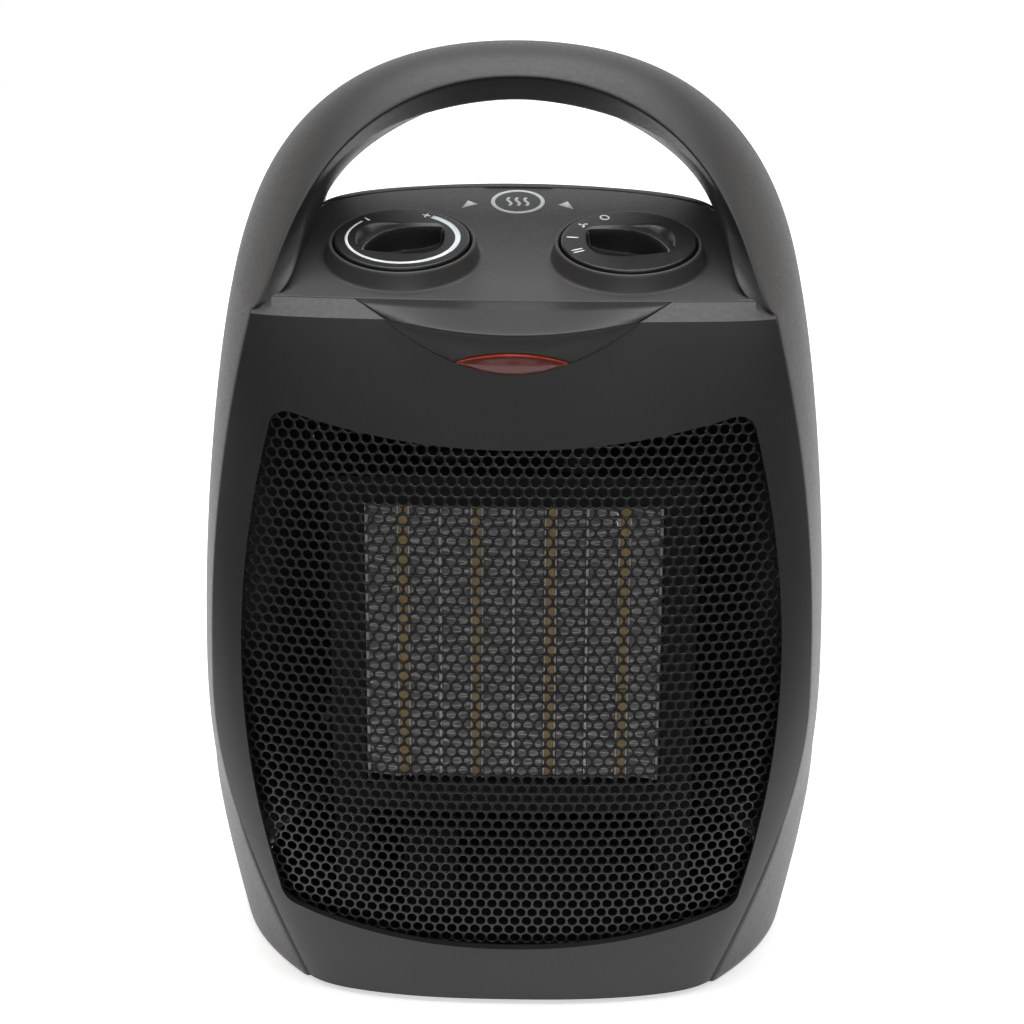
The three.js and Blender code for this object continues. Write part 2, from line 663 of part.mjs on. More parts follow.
// ---- Indicator: a red lens with a neon lamp behind it ----
const LENS_FRONT_Y = -66.4;
const LENS_BACK_Y = -59.5;
const LAMP_Y = -54;

const makeLens = () => prismAlongY(eye(0), LENS_FRONT_Y, LENS_BACK_Y);

function makeLamp() {
  const bulb = turned([[0, -5], [1.2, -4.8], [2.6, -3.4], [2.8, 0], [2.8, 5], [0, 5]], 16);
  return placed(bulb, v3(0, 1, 0), 0, LAMP_Y, LENS_TIP_Z);
}

// ---- Heating element: ceramic bars, corrugated fins and dividers in a frame ----
const HEATER_BACK_Y = HEATER_FRONT_Y + HEATER_DEPTH;
const HEATER_BOTTOM = HEATER_Z - HEATER_HEIGHT / 2;
const HEATER_TOP = HEATER_Z + HEATER_HEIGHT / 2;
const HEATER_HALF_WIDTH = (BAYS / 2) * BAY_PITCH + PLATE_WIDTH / 2;
const FRAME_HALF_WIDTH = 52;
const FRAME_FRONT_Y = -31;
const FRAME_BACK_Y = -10;
const LEG_WIDTH = 10;

function makeBar(bay) {
  const x = (bay - (BAYS - 1) / 2) * BAY_PITCH;
  return box(x - BAR_WIDTH / 2, x + BAR_WIDTH / 2, HEATER_FRONT_Y, HEATER_BACK_Y, HEATER_BOTTOM, HEATER_TOP);
}

function makePlate(index) {
  const x = (index - BAYS / 2) * BAY_PITCH;
  return box(x - PLATE_WIDTH / 2, x + PLATE_WIDTH / 2, HEATER_FRONT_Y, HEATER_BACK_Y, HEATER_BOTTOM, HEATER_TOP);
}

// A corrugated foil in the gap on one side of a bar, folded back and forth as it climbs.
function makeFins(bay, side) {
  const barX = (bay - (BAYS - 1) / 2) * BAY_PITCH;
  const near = BAR_WIDTH / 2 + GAP;
  const far = BAY_PITCH / 2 - PLATE_WIDTH / 2 - GAP;
  const rise = (HEATER_HEIGHT - FIN_FOIL) / FIN_FOLDS;
  const corner = (fold) => v2(barX + side * (fold % 2 ? far : near), HEATER_BOTTOM + fold * rise);
  const runs = [];
  for (let fold = 0; fold < FIN_FOLDS; fold++) {
    const a = corner(fold);
    const b = corner(fold + 1);
    const run = new THREE.Shape([a, b, v2(b.x, b.y + FIN_FOIL), v2(a.x, a.y + FIN_FOIL)]);
    runs.push(prismAlongY(run, HEATER_FRONT_Y, HEATER_BACK_Y));
  }
  return union(...runs);
}

function makeHeaterFrame() {
  const window = HEATER_HALF_WIDTH + GAP;
  const outer = box(-FRAME_HALF_WIDTH, FRAME_HALF_WIDTH, FRAME_FRONT_Y, FRAME_BACK_Y,
    HEATER_BOTTOM - 9, HEATER_TOP + 9);
  const legs = [-1, 1].map((side) => {
    const x = side * (FRAME_HALF_WIDTH - LEG_WIDTH / 2);
    return box(x - LEG_WIDTH / 2, x + LEG_WIDTH / 2, FRAME_FRONT_Y + 4, FRAME_BACK_Y,
      PLATE_TOP + GAP, HEATER_BOTTOM - 8);
  });
  const inner = box(-window, window, FRAME_FRONT_Y - 1, FRAME_BACK_Y + 1, HEATER_BOTTOM - GAP, HEATER_TOP + GAP);
  return cut(union(outer, ...legs), inner);
}

// ---- Air duct, fan and motor behind the element ----
const DUCT_BACK_Y = 6;
const FAN_FRONT_Y = 11;
const FAN_BACK_Y = 27;
const SHROUD_BACK_Y = 31;
const SHROUD_RADIUS = 50;
const SHROUD_BORE = 47.5;
const BLADE_RADIUS = 46;
const HUB_RADIUS = 13;
const BLADES = 7;
const BLADE_PITCH = THREE.MathUtils.degToRad(32);
const MOTOR_SHAFT_RADIUS = 1.6;
const MOTOR_FRONT_Y = 38;
const MOTOR_BACK_Y = 56;
const STANDOFF_X = 19;

function makeDuct() {
  const outer = box(-FRAME_HALF_WIDTH, FRAME_HALF_WIDTH, FRAME_BACK_Y + GAP, DUCT_BACK_Y, HEATER_Z - 51, HEATER_Z + 51);
  const inner = box(-FRAME_HALF_WIDTH + 2, FRAME_HALF_WIDTH - 2, -20, DUCT_BACK_Y - 2, HEATER_Z - 49, HEATER_Z + 49);
  const mouth = placed(rod(SHROUD_BORE, -30, 30, 32), BACKWARD, 0, 0, HEATER_Z);
  return cut(outer, inner, mouth);
}

function makeShroud() {
  const length = SHROUD_BACK_Y - DUCT_BACK_Y - GAP;
  const ring = cut(rod(SHROUD_RADIUS, 0, length, 32), rod(SHROUD_BORE, -1, length + 1, 32));
  return placed(ring, BACKWARD, 0, DUCT_BACK_Y + GAP, HEATER_Z);
}

function makeFan() {
  const depth = FAN_BACK_Y - FAN_FRONT_Y;
  const hub = rod(HUB_RADIUS, 0, depth, 20);
  const blades = [];
  for (let i = 0; i < BLADES; i++) {
    const blade = new THREE.BoxGeometry(BLADE_RADIUS - HUB_RADIUS + 4, 20, 1.6);
    blade.rotateX(BLADE_PITCH);
    blade.translate((BLADE_RADIUS + HUB_RADIUS - 4) / 2, 0, depth / 2);
    blade.rotateZ((i / BLADES) * 2 * Math.PI);
    blades.push(solid(blade));
  }
  const tips = rod(BLADE_RADIUS, -10, depth + 10, 24);
  const bore = rod(MOTOR_SHAFT_RADIUS + GAP, 3, depth + 1, 12);
  return placed(cut(union(hub, ...blades).intersect(tips), bore), BACKWARD, 0, FAN_FRONT_Y, HEATER_Z);
}

const makeMotorShaft = () =>
  placed(rod(MOTOR_SHAFT_RADIUS, 0, MOTOR_BACK_Y + 3 - FAN_FRONT_Y - 3.5, 12), BACKWARD, 0, FAN_FRONT_Y + 3.5, HEATER_Z);

// A round rotor on the shaft, turning in the bore of the stator's laminations.
const ROTOR_RADIUS = 9;
const ROTOR_GAP = 0.5;

function makeRotor() {
  const rotor = cut(
    rod(ROTOR_RADIUS, 0, MOTOR_BACK_Y - MOTOR_FRONT_Y - 4, 20),
    rod(MOTOR_SHAFT_RADIUS + GAP, -1, 40, 12));
  return placed(rotor, BACKWARD, 0, MOTOR_FRONT_Y + 2, HEATER_Z);
}

function makeStator() {
  const stack = box(-24, 24, MOTOR_FRONT_Y, MOTOR_BACK_Y - 2, HEATER_Z - 16, HEATER_Z + 30);
  const bore = placed(rod(ROTOR_RADIUS + ROTOR_GAP, -5, 60, 24), BACKWARD, 0, MOTOR_FRONT_Y, HEATER_Z);
  const window = box(-13, 13, MOTOR_FRONT_Y - 1, MOTOR_BACK_Y, HEATER_Z + 13.5, HEATER_Z + 24);
  return cut(stack, bore, window);
}

// The winding sits round the upper limb of the laminations.
function makeCoil() {
  const outer = box(-12.5, 12.5, MOTOR_FRONT_Y - 4, MOTOR_BACK_Y + 2, HEATER_Z + 14, HEATER_Z + 34);
  const core = box(-30, 30, MOTOR_FRONT_Y - GAP, MOTOR_BACK_Y - 2 + GAP, HEATER_Z + 24 - GAP, HEATER_Z + 30 + GAP);
  return cut(outer, core);
}

// Two straps across the shroud's back, with a plain bearing for the shaft.
function makeMotorBracket() {
  const strap = box(-SHROUD_RADIUS, SHROUD_RADIUS, SHROUD_BACK_Y + GAP, SHROUD_BACK_Y + 2, HEATER_Z - 8, HEATER_Z + 8);
  const post = box(-8, 8, SHROUD_BACK_Y + GAP, SHROUD_BACK_Y + 2, HEATER_Z - SHROUD_RADIUS, HEATER_Z + 8);
  const bearing = placed(rod(5, 0, 4.5, 20), BACKWARD, 0, SHROUD_BACK_Y + GAP, HEATER_Z);
  const hole = placed(rod(MOTOR_SHAFT_RADIUS + GAP, -5, 20, 12), BACKWARD, 0, SHROUD_BACK_Y, HEATER_Z);
  const spacers = [-STANDOFF_X, STANDOFF_X].map((x) =>
    placed(rod(3, 0, MOTOR_FRONT_Y - SHROUD_BACK_Y - 2 * GAP, 12), BACKWARD, x, SHROUD_BACK_Y + GAP, HEATER_Z));
  return cut(union(strap, post, bearing, ...spacers), hole);
}

// ---- Safety devices ----
const CUTOUT_X = 18;
const FUSE_X = -18;
const SAFETY_Z = HEATER_TOP + 9 + GAP;

const makeCutout = () =>
  placed(turned([[0, 0], [8, 0], [8, 5], [6, 7], [0, 7]], 20), v3(0, 0, 1), CUTOUT_X, -20, SAFETY_Z);

const makeFuse = () =>
  placed(turned([[0, -9], [1.8, -8], [1.8, 7], [0.8, 9], [0, 9]], 12), v3(1, 0, 0), FUSE_X, -20, SAFETY_Z + 2);

// ---- Base plate, feet and tip-over switch ----
const FOOT_X = 58;
const FOOT_FRONT_Y = -34;
const FOOT_REAR_Y = 40;
const FOOT_RADIUS = 7;
const FOOT_STEM = 2.2;
const PLUNGER_X = -24;
const PLUNGER_Y = -20;
const PLUNGER_RADIUS = 3;

const footPlaces = [[-FOOT_X, FOOT_FRONT_Y], [FOOT_X, FOOT_FRONT_Y], [-FOOT_X, FOOT_REAR_Y], [FOOT_X, FOOT_REAR_Y]];

function makeBasePlate() {
  const outline = bodySection(PLATE_BOTTOM, WALL + 0.5).map((p) => v2(p.x, p.y));
  const plate = prismUp(new THREE.Shape(outline), PLATE_BOTTOM, PLATE_TOP);
  const stems = footPlaces.map(([x, y]) => placed(rod(FOOT_STEM + GAP, -5, 10, 12), v3(0, 0, 1), x, y, 0));
  const plungerHole = placed(rod(PLUNGER_RADIUS + 0.5, -5, 10, 16), v3(0, 0, 1), PLUNGER_X, PLUNGER_Y, 0);
  return cut(plate, plungerHole, ...stems);
}

function makeFoot([x, y]) {
  const foot = turned([
    [0, 0], [FOOT_RADIUS - 0.6, 0], [FOOT_RADIUS, 0.5], [FOOT_RADIUS, PLATE_BOTTOM - GAP], [FOOT_STEM, PLATE_BOTTOM - GAP],
    [FOOT_STEM, PLATE_TOP + GAP], [FOOT_STEM + 1, PLATE_TOP + GAP + 0.2], [FOOT_STEM, PLATE_TOP + 2.5], [0, PLATE_TOP + 2.5],
  ], 12);
  return placed(foot, v3(0, 0, 1), x, y, 0);
}

// The plunger stands on the floor; a spring pushes it down when the heater is lifted or tips over.
const PLUNGER_TRAVEL = 5;
const PLUNGER_TOP = 22;
const SWITCH_BOTTOM = PLATE_TOP + GAP;
const SWITCH_TOP = 34;
const COLLAR_Z = 12;

function makePlunger() {
  const plunger = turned([
    [0, 0.2], [PLUNGER_RADIUS, 0.2], [PLUNGER_RADIUS, COLLAR_Z], [4.4, COLLAR_Z], [4.4, COLLAR_Z + 2],
    [1.6, COLLAR_Z + 2], [1.6, PLUNGER_TOP], [0, PLUNGER_TOP],
  ], 20);
  return placed(plunger, v3(0, 0, 1), PLUNGER_X, PLUNGER_Y, 0);
}

function makeTipSwitch() {
  const body = box(-8, 8, -7, 7, SWITCH_BOTTOM, SWITCH_TOP);
  const chamber = rod(5, COLLAR_Z - PLUNGER_TRAVEL - 0.6, SWITCH_TOP - 4, 20);
  const guide = rod(PLUNGER_RADIUS + 0.4, -5, COLLAR_Z, 20);
  return placed(cut(body, chamber, guide), v3(0, 0, 1), PLUNGER_X, PLUNGER_Y, 0);
}

// A coil spring round the plunger's pin, between its collar and the chamber's roof.
const SPRING_TURNS = 4;
const SPRING_RADIUS = 3.2;
const SPRING_WIRE = 0.5;

class Helix extends THREE.Curve {
  getPoint(t, target = new THREE.Vector3()) {
    const angle = t * SPRING_TURNS * 2 * Math.PI;
    const low = COLLAR_Z + 2 + SPRING_WIRE + GAP;
    const high = SWITCH_TOP - 4 - SPRING_WIRE - GAP;
    return target.set(SPRING_RADIUS * Math.cos(angle), SPRING_RADIUS * Math.sin(angle), low + (high - low) * t);
  }
}

function makeSpring() {
  const wire = new THREE.Shape().absarc(0, 0, SPRING_WIRE, 0, 2 * Math.PI);
  const geometry = new THREE.ExtrudeGeometry(wire, { steps: 32, extrudePath: new Helix(), curveSegments: 2 });
  geometry.translate(PLUNGER_X, PLUNGER_Y, 0);
  return solid(geometry);
}

// ---- Mains inlet and terminal block ----
function makeInlet() {
  const bush = turned([
    [2.6, -9], [INLET_RADIUS + 2, -9], [INLET_RADIUS + 2, -7], [INLET_RADIUS, -7], [INLET_RADIUS, 1.2],
    [INLET_RADIUS - 1, 2], [3.4, 2], [2.6, 1], [2.6, -9],
  ], 14);
  return placed(bush, BACKWARD, INLET_X, rearY(INLET_X, INLET_Z) - 1.5, INLET_Z);
}

function makeTerminalBlock() {
  const block = box(-44, -12, 24, 40, PLATE_TOP + GAP, 22);
  const ways = [0, 1, 2].map((i) => placed(rod(3, 0, 20, 12), v3(0, 0, 1), -38 + i * 10, 32, 14));
  return cut(block, ...ways);
}

// ---- Intake screen behind the rear slots ----
const SCREEN_COLUMNS = 3;
const SCREEN_ROWS = 4;
const SCREEN_SETBACK = 2;
const SCREEN_THICKNESS = 1;
const SCREEN_MARGIN = 3;
const SCREEN_BAR = 2;

function makeIntakeScreen() {
  const half = INTAKE_HALF_WIDTH + SCREEN_MARGIN;
  const low = INTAKE_Z - INTAKE_HALF_HEIGHT - SCREEN_MARGIN;
  const high = INTAKE_Z + INTAKE_HALF_HEIGHT + SCREEN_MARGIN;
  const section = (z) => {
    const xs = levels(half, -half, 2 * SCREEN_COLUMNS);
    const near = WALL + SCREEN_SETBACK;
    const outer = xs.map((x) => v3(x, rearY(x, z, near), z));
    const inner = xs.map((x) => v3(x, rearY(x, z, near + SCREEN_THICKNESS), z)).reverse();
    return [...outer, ...inner];
  };
  const band = loft(levels(low - SCREEN_MARGIN, high + SCREEN_MARGIN, SCREEN_ROWS).map(section));
  const sheet = band.intersect(box(-half - 1, half + 1, 20, 90, low, high));
  const pitchX = (2 * INTAKE_HALF_WIDTH) / SCREEN_COLUMNS;
  const pitchZ = (2 * INTAKE_HALF_HEIGHT) / SCREEN_ROWS;
  const windows = [];
  for (let column = 0; column < SCREEN_COLUMNS; column++) {
    for (let row = 0; row < SCREEN_ROWS; row++) {
      const x = -INTAKE_HALF_WIDTH + column * pitchX + SCREEN_BAR / 2;
      const z = INTAKE_Z - INTAKE_HALF_HEIGHT + row * pitchZ + SCREEN_BAR / 2;
      windows.push(box(x, x + pitchX - SCREEN_BAR, 20, 90, z, z + pitchZ - SCREEN_BAR));
    }
  }
  return cut(sheet, ...windows);
}

function makeScrew([x, z]) {
  const screw = cut(
    turned([[0, -14], [1.4, -13], [1.4, -3], [SCREW_HEAD_RADIUS, -3], [SCREW_HEAD_RADIUS, -0.8], [0, 0]], 12),
    box(-2.2, 2.2, -0.5, 0.5, -1.4, 1),
    box(-0.5, 0.5, -2.2, 2.2, -1.4, 1));
  return placed(screw, BACKWARD, x, rearY(x, z) - 2, z);
}

// ---- Assembly ----
add("front_panel", makeFrontPanel(), blackPlastic);
add("front_grille", makeGrille(), darkPlastic);
add("front_housing", makeFrontHousing(), blackPlastic);
add("rear_housing", makeRearHousing(), blackPlastic);
add("top_panel", makeTopPanel(), blackPlastic);
add("base_plate", makeBasePlate(), darkPlastic);
add("intake_screen", makeIntakeScreen(), darkPlastic);
add("indicator_lens", makeLens(), redLens);
add("indicator_lamp", makeLamp(), glass);

for (const name of Object.keys(dialPlaces)) {
  add(`${name}_knob`, makeKnob(name), blackPlastic);
  add(`${name}_shaft`, makeShaft(name), brass);
}
add("thermostat_body", makeThermostatBody(), nylon);
add("selector_body", makeSelectorBody(), nylon);

for (let bay = 0; bay < BAYS; bay++) {
  add(`ceramic_bar_${bay + 1}`, makeBar(bay), ceramic);
  add(`fin_stack_${2 * bay + 1}`, makeFins(bay, -1), aluminium);
  add(`fin_stack_${2 * bay + 2}`, makeFins(bay, 1), aluminium);
}
for (let index = 0; index <= BAYS; index++) {
  add(`divider_plate_${index + 1}`, makePlate(index), aluminium);
}
add("heater_frame", makeHeaterFrame(), darkPlastic);

add("air_duct", makeDuct(), darkPlastic);
add("fan_shroud", makeShroud(), darkPlastic);
add("fan_impeller", makeFan(), darkPlastic);
add("motor_shaft", makeMotorShaft(), steel);
add("motor_rotor", makeRotor(), aluminium);
add("motor_stator", makeStator(), steel);
add("motor_coil", makeCoil(), copper);
add("motor_bracket", makeMotorBracket(), steel);

add("thermal_cutout", makeCutout(), aluminium);
add("thermal_fuse", makeFuse(), nylon);
add("terminal_block", makeTerminalBlock(), nylon);
add("cord_inlet", makeInlet(), rubber);

add("tip_switch_body", makeTipSwitch(), darkPlastic);
add("tip_switch_plunger", makePlunger(), nylon);
add("tip_switch_spring", makeSpring(), steel);

footPlaces.forEach((place, i) => add(`foot_${i + 1}`, makeFoot(place), rubber));
screwPlaces.forEach((place, i) => add(`housing_screw_${i + 1}`, makeScrew(place), steel));

export default heater;
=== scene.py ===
import json
import math

import bmesh
import bpy
import numpy as np
from mathutils import Matrix, Vector


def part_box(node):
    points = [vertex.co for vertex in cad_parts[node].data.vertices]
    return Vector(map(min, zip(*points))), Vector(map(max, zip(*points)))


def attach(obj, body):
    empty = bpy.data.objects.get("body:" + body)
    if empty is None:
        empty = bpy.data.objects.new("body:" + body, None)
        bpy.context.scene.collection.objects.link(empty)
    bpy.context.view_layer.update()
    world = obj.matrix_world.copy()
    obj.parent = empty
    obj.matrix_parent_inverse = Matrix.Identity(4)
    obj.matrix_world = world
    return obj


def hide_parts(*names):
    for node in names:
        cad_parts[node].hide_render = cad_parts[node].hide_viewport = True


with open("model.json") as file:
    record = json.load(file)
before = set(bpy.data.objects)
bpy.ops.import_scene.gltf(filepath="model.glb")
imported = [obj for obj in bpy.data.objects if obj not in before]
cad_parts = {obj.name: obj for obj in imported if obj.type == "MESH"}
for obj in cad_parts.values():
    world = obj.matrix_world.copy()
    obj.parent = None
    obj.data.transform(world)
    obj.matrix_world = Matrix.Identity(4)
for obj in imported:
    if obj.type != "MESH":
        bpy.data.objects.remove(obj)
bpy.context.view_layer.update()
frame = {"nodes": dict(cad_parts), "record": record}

# ---- Driving dimensions, in millimetres, the same as the CAD part's ----
MM = 0.001
HALF_WIDTH = 89.3
WALL = 2.8
GAP = 0.3
BELLY_HEIGHT = 80
BELLY_Y = -71.5
HOUSING_BOTTOM = 1
FASCIA_BOTTOM = 1.5
SHOULDER = 203
SEAM_Y = 2

LID_FRONT_Y = -55.3
LID_FRONT_Z = 205.8
LID_REAR_Y = 13.8
LID_FRONT_HALF_WIDTH = 64
LID_TILT = math.radians(9.5)

GRILLE_HALF_WIDTH = 73.8
GRILLE_CORNER_X = 64.5
GRILLE_TOP = 176.5
GRILLE_TOP_SAG = 8.8
GRILLE_BOTTOM = 28
GRILLE_BOTTOM_SAG = 9.2
GRILLE_CORNER_RADIUS = 5
GRILLE_SHEET = 0.8
HOLE_PITCH = 3.24
HOLE_RADIUS = 1.33

DIAL_X = 30.6
DIAL_Y = -30.2
DIAL_Z = LID_FRONT_Z + (DIAL_Y - LID_FRONT_Y) * math.tan(LID_TILT)
KNOB_RADIUS = 18.3
KNOB_TOP = 5.6
WELL_RADIUS = 18.9

HEATER_Z = 94
HEATER_FRONT_Y = -27
HEATER_DEPTH = 14
HEATER_HEIGHT = 86.5
BAYS = 4

LENS_HALF_WIDTH = 15.3
LENS_TIP_Z = 191.2
LENS_TOP = 195
LENS_BOTTOM = 188

CREST = [(78.1, 0, SHOULDER), (70.2, 0, 235), (50, 0, 262), (0, 0, 262)]
FRONT_RIDGE = [
    (69, -55.5, SHOULDER), (61.8, -56, 208.4), (61.9, -20, 238.4), (32.5, -15.5, 256.3), (0, -15.5, 256.3)]
REAR_RIDGE = [(69, 26, SHOULDER), (62, 22, 228), (48, 17, 256), (0, 17, 256)]
FRONT_INNER = [
    (64.3, -54, 204.8), (45.9, -47.5, 214.1), (77.7, 0.6, 230.6), (25.1, -5, 247.3), (0, -5, 247.3)]
REAR_INNER = [(54.7, 22, 204), (62.4, 18, 223.2), (17.4, 8, 247.3), (0, 8, 247.3)]


# ---- Curves and the outer form ----
def bezier(points, t):
    """The points at t of a Bezier curve with any number of control points."""
    p = np.array(points, float)
    t = np.asarray(t, float)[..., None]
    n = len(p) - 1
    return sum(math.comb(n, k) * t**k * (1 - t) ** (n - k) * p[k] for k in range(n + 1))


def height_profile(*stretches):
    """A curve that climbs in its last coordinate, read as a distance at a height."""
    curve = np.vstack([bezier(points, np.linspace(0, 1, 240))[:, [0, -1]] for points in stretches])
    return lambda z: np.interp(z, curve[:, 1], curve[:, 0])


half_width = height_profile(
    [(79.6, 0), (83.3, 18), (HALF_WIDTH, 50), (HALF_WIDTH, BELLY_HEIGHT)],
    [(HALF_WIDTH, BELLY_HEIGHT), (HALF_WIDTH, 123), (85.5, 172), (78.1, SHOULDER)],
    CREST,
)
fascia_half_width = height_profile(
    [(57, 0), (70.5, 30), (82.4, 62), (82.4, 92)],
    [(82.4, 92), (82.4, 135), (78.5, 163), (69, SHOULDER)],
    FRONT_RIDGE,
)
rear_depth = height_profile(
    [(66, 0), (70, 20), (73, 50), (73, BELLY_HEIGHT)],
    [(73, BELLY_HEIGHT), (73, 130), (45, 206), (16, 217.4)],
)
inner_half_width = height_profile(REAR_INNER)

UPPER_BOW_RADIUS = 760
LOWER_BOW_RADIUS = 1150
FRONT_SAG = 7
FOOT_SAG = 8
FOOT_SAG_TOP = 115
SAG_X = 70
SAG_POWER = 2.6
SIDE_ROUNDING = 3
ROUNDING_POWER = 14
TOP_FLATTENING = 0.55
FLATTENING_Z = 150
FLANK_BOW = 2.2
REAR_SQUARENESS = 2.8


def smooth_step(low, high, value):
    """Climbs smoothly from 0 at low to 1 at high."""
    t = np.clip((np.asarray(value, float) - low) / (high - low), 0, 1)
    return t * t * (3 - 2 * t)


def front_y(x, z):
    """The front face: bowed both ways, more strongly towards its foot, rounded off at its sides."""
    x, z = np.abs(np.asarray(x, float)), np.asarray(z, float)
    radius = np.where(z > BELLY_HEIGHT, UPPER_BOW_RADIUS, LOWER_BOW_RADIUS)
    centre = BELLY_Y + (z - BELLY_HEIGHT) ** 2 / (2 * radius)
    foot = np.maximum(0, 1 - z / FOOT_SAG_TOP)
    sag = (FRONT_SAG + FOOT_SAG * foot**2) * (x / SAG_X) ** SAG_POWER
    rounding = SIDE_ROUNDING * (x / fascia_half_width(z)) ** ROUNDING_POWER
    return centre + (sag + rounding) * (1 - TOP_FLATTENING * smooth_step(FLATTENING_Z, SHOULDER, z))


def lid_z(y):
    """The height of the sloping top panel at a depth."""
    return LID_FRONT_Z + (np.asarray(y, float) - LID_FRONT_Y) * math.tan(LID_TILT)


# ---- Meshes ----
WELD_REACH = 0.004


def grid_faces(rows, columns, closed_rows=False, closed_columns=False, start=0, flip=False):
    """Quads over a grid of points numbered row by row."""
    faces = []
    for i in range(rows if closed_rows else rows - 1):
        for j in range(columns if closed_columns else columns - 1):
            a = start + i * columns + j
            b = start + i * columns + (j + 1) % columns
            c = start + ((i + 1) % rows) * columns + (j + 1) % columns
            d = start + ((i + 1) % rows) * columns + j
            faces.append((d, c, b, a) if flip else (a, b, c, d))
    return faces


def wall(outer, inner, closed_columns=False):
    """A closed skin between two grids of equal size, as points and faces."""
    rows, columns = outer.shape[:2]
    count = rows * columns
    points = np.vstack([outer.reshape(-1, 3), inner.reshape(-1, 3)])
    faces = grid_faces(rows, columns, closed_columns=closed_columns)
    faces += grid_faces(rows, columns, closed_columns=closed_columns, start=count, flip=True)
    last = (rows - 1) * columns
    loop = list(range(columns)) + ([0] if closed_columns else [])
    for a, b in zip(loop, loop[1:]):
        faces.append((a, a + count, b + count, b))
        faces.append((last + a, last + b, last + b + count, last + a + count))
    if not closed_columns:
        for i in range(rows - 1):
            for j in (0, columns - 1):
                a, b = i * columns + j, (i + 1) * columns + j
                faces.append((a, b, b + count, a + count))
    return points, faces


def grid_normals(grid):
    """The outward direction at each point of a grid."""
    normal = np.cross(np.gradient(grid, axis=1), np.gradient(grid, axis=0))
    return normal / np.maximum(np.linalg.norm(normal, axis=2, keepdims=True), 1e-9)


def loft(rings):
    """A closed body through rings of equally many points, capped at both ends."""
    rings = np.array(rings, float)
    rows, columns = rings.shape[:2]
    faces = grid_faces(rows, columns, closed_columns=True)
    faces.append(tuple(range(columns)))
    faces.append(tuple(reversed(range((rows - 1) * columns, rows * columns))))
    return rings.reshape(-1, 3), faces


def tube(rings):
    """A closed body through rings that come back round to the first."""
    rings = np.array(rings, float)
    faces = grid_faces(*rings.shape[:2], closed_rows=True, closed_columns=True)
    return rings.reshape(-1, 3), faces


def merged(*bodies):
    """Several bodies as one list of points and faces."""
    points, faces, start = [], [], 0
    for body_points, body_faces in bodies:
        points.append(np.asarray(body_points, float))
        faces += [tuple(i + start for i in face) for face in body_faces]
        start += len(body_points)
    return np.vstack(points), faces


def circle(sides):
    """A unit circle as evenly spaced points, anticlockwise."""
    angles = np.arange(sides) * 2 * math.pi / sides
    return np.column_stack([np.cos(angles), np.sin(angles)])


def upright(outline, y):
    """Points in X and Z, set at a depth."""
    outline = np.asarray(outline, float)
    return np.column_stack([outline[:, 0], np.broadcast_to(y, len(outline)), outline[:, 1]])


def new_mesh(name, body, flat=True, weld=False):
    """A mesh from a body drawn in millimetres, its faces turned outwards."""
    points, faces = body
    mesh = bpy.data.meshes.new(name)
    mesh.from_pydata((np.asarray(points, float) * MM).tolist(), [], faces)
    shape = bmesh.new()
    shape.from_mesh(mesh)
    if weld:
        bmesh.ops.remove_doubles(shape, verts=shape.verts, dist=WELD_REACH * MM)
    bmesh.ops.recalc_face_normals(shape, faces=shape.faces)
    for face in shape.faces:
        face.smooth = not flat
    shape.to_mesh(mesh)
    shape.free()
    return mesh


def add_object(name, data):
    """An object with this mesh, light or camera, in the scene."""
    item = bpy.data.objects.new(name, data)
    bpy.context.scene.collection.objects.link(item)
    return item


def make(name, body, look, replaces=(), rides="housing", flat=False, weld=False):
    """A piece from a body drawn in millimetres, riding on a CAD body."""
    mesh = new_mesh(name, body, flat, weld)
    mesh.materials.append(look)
    piece = add_object(name, mesh)
    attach(piece, rides)
    if replaces:
        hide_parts(*replaces)
    return piece


def round_edges(piece, width, segments=3, angle=38):
    """Rounds a piece's sharp edges by a width in millimetres."""
    bevel = piece.modifiers.new("rounded_edges", "BEVEL")
    bevel.width = width * MM
    bevel.segments = segments
    bevel.limit_method = "ANGLE"
    bevel.angle_limit = math.radians(angle)
    bevel.harden_normals = True


def apply_modifiers(piece):
    """Gives a piece the mesh that its modifiers make."""
    graph = bpy.context.evaluated_depsgraph_get()
    mesh = bpy.data.meshes.new_from_object(piece.evaluated_get(graph))
    piece.modifiers.clear()
    piece.data = mesh


def cut_away(piece, cutters):
    """Cuts closed bodies, drawn in millimetres, out of a piece."""
    tool = add_object("cutter", new_mesh("cutter", merged(*cutters)))
    boolean = piece.modifiers.new("cut", "BOOLEAN")
    boolean.object = tool
    boolean.operation = "DIFFERENCE"
    boolean.solver = "EXACT"
    bpy.context.view_layer.update()
    apply_modifiers(piece)
    bpy.data.objects.remove(tool)


# ---- Materials ----
def new_material(name):
    """A new material with its nodes, its links and its shader."""
    material = bpy.data.materials.new(name)
    material.use_nodes = True
    nodes = material.node_tree.nodes
    return material, nodes, material.node_tree.links, nodes["Principled BSDF"]


def noise(nodes, links, scale, detail=2.0, roughness=0.5):
    """Object-space noise, with a scale in features per metre."""
    place = nodes.new("ShaderNodeTexCoord")
    texture = nodes.new("ShaderNodeTexNoise")
    texture.inputs["Scale"].default_value = scale
    texture.inputs["Detail"].default_value = detail
    texture.inputs["Roughness"].default_value = roughness
    links.new(place.outputs["Object"], texture.inputs["Vector"])
    return texture.outputs["Fac"]


def spread(nodes, links, value, low, high, between=(0.3, 0.7)):
    """A value between low and high from a noise value."""
    ramp = nodes.new("ShaderNodeMapRange")
    ramp.inputs["From Min"].default_value = between[0]
    ramp.inputs["From Max"].default_value = between[1]
    ramp.inputs["To Min"].default_value = low
    ramp.inputs["To Max"].default_value = high
    links.new(value, ramp.inputs["Value"])
    return ramp.outputs["Result"]


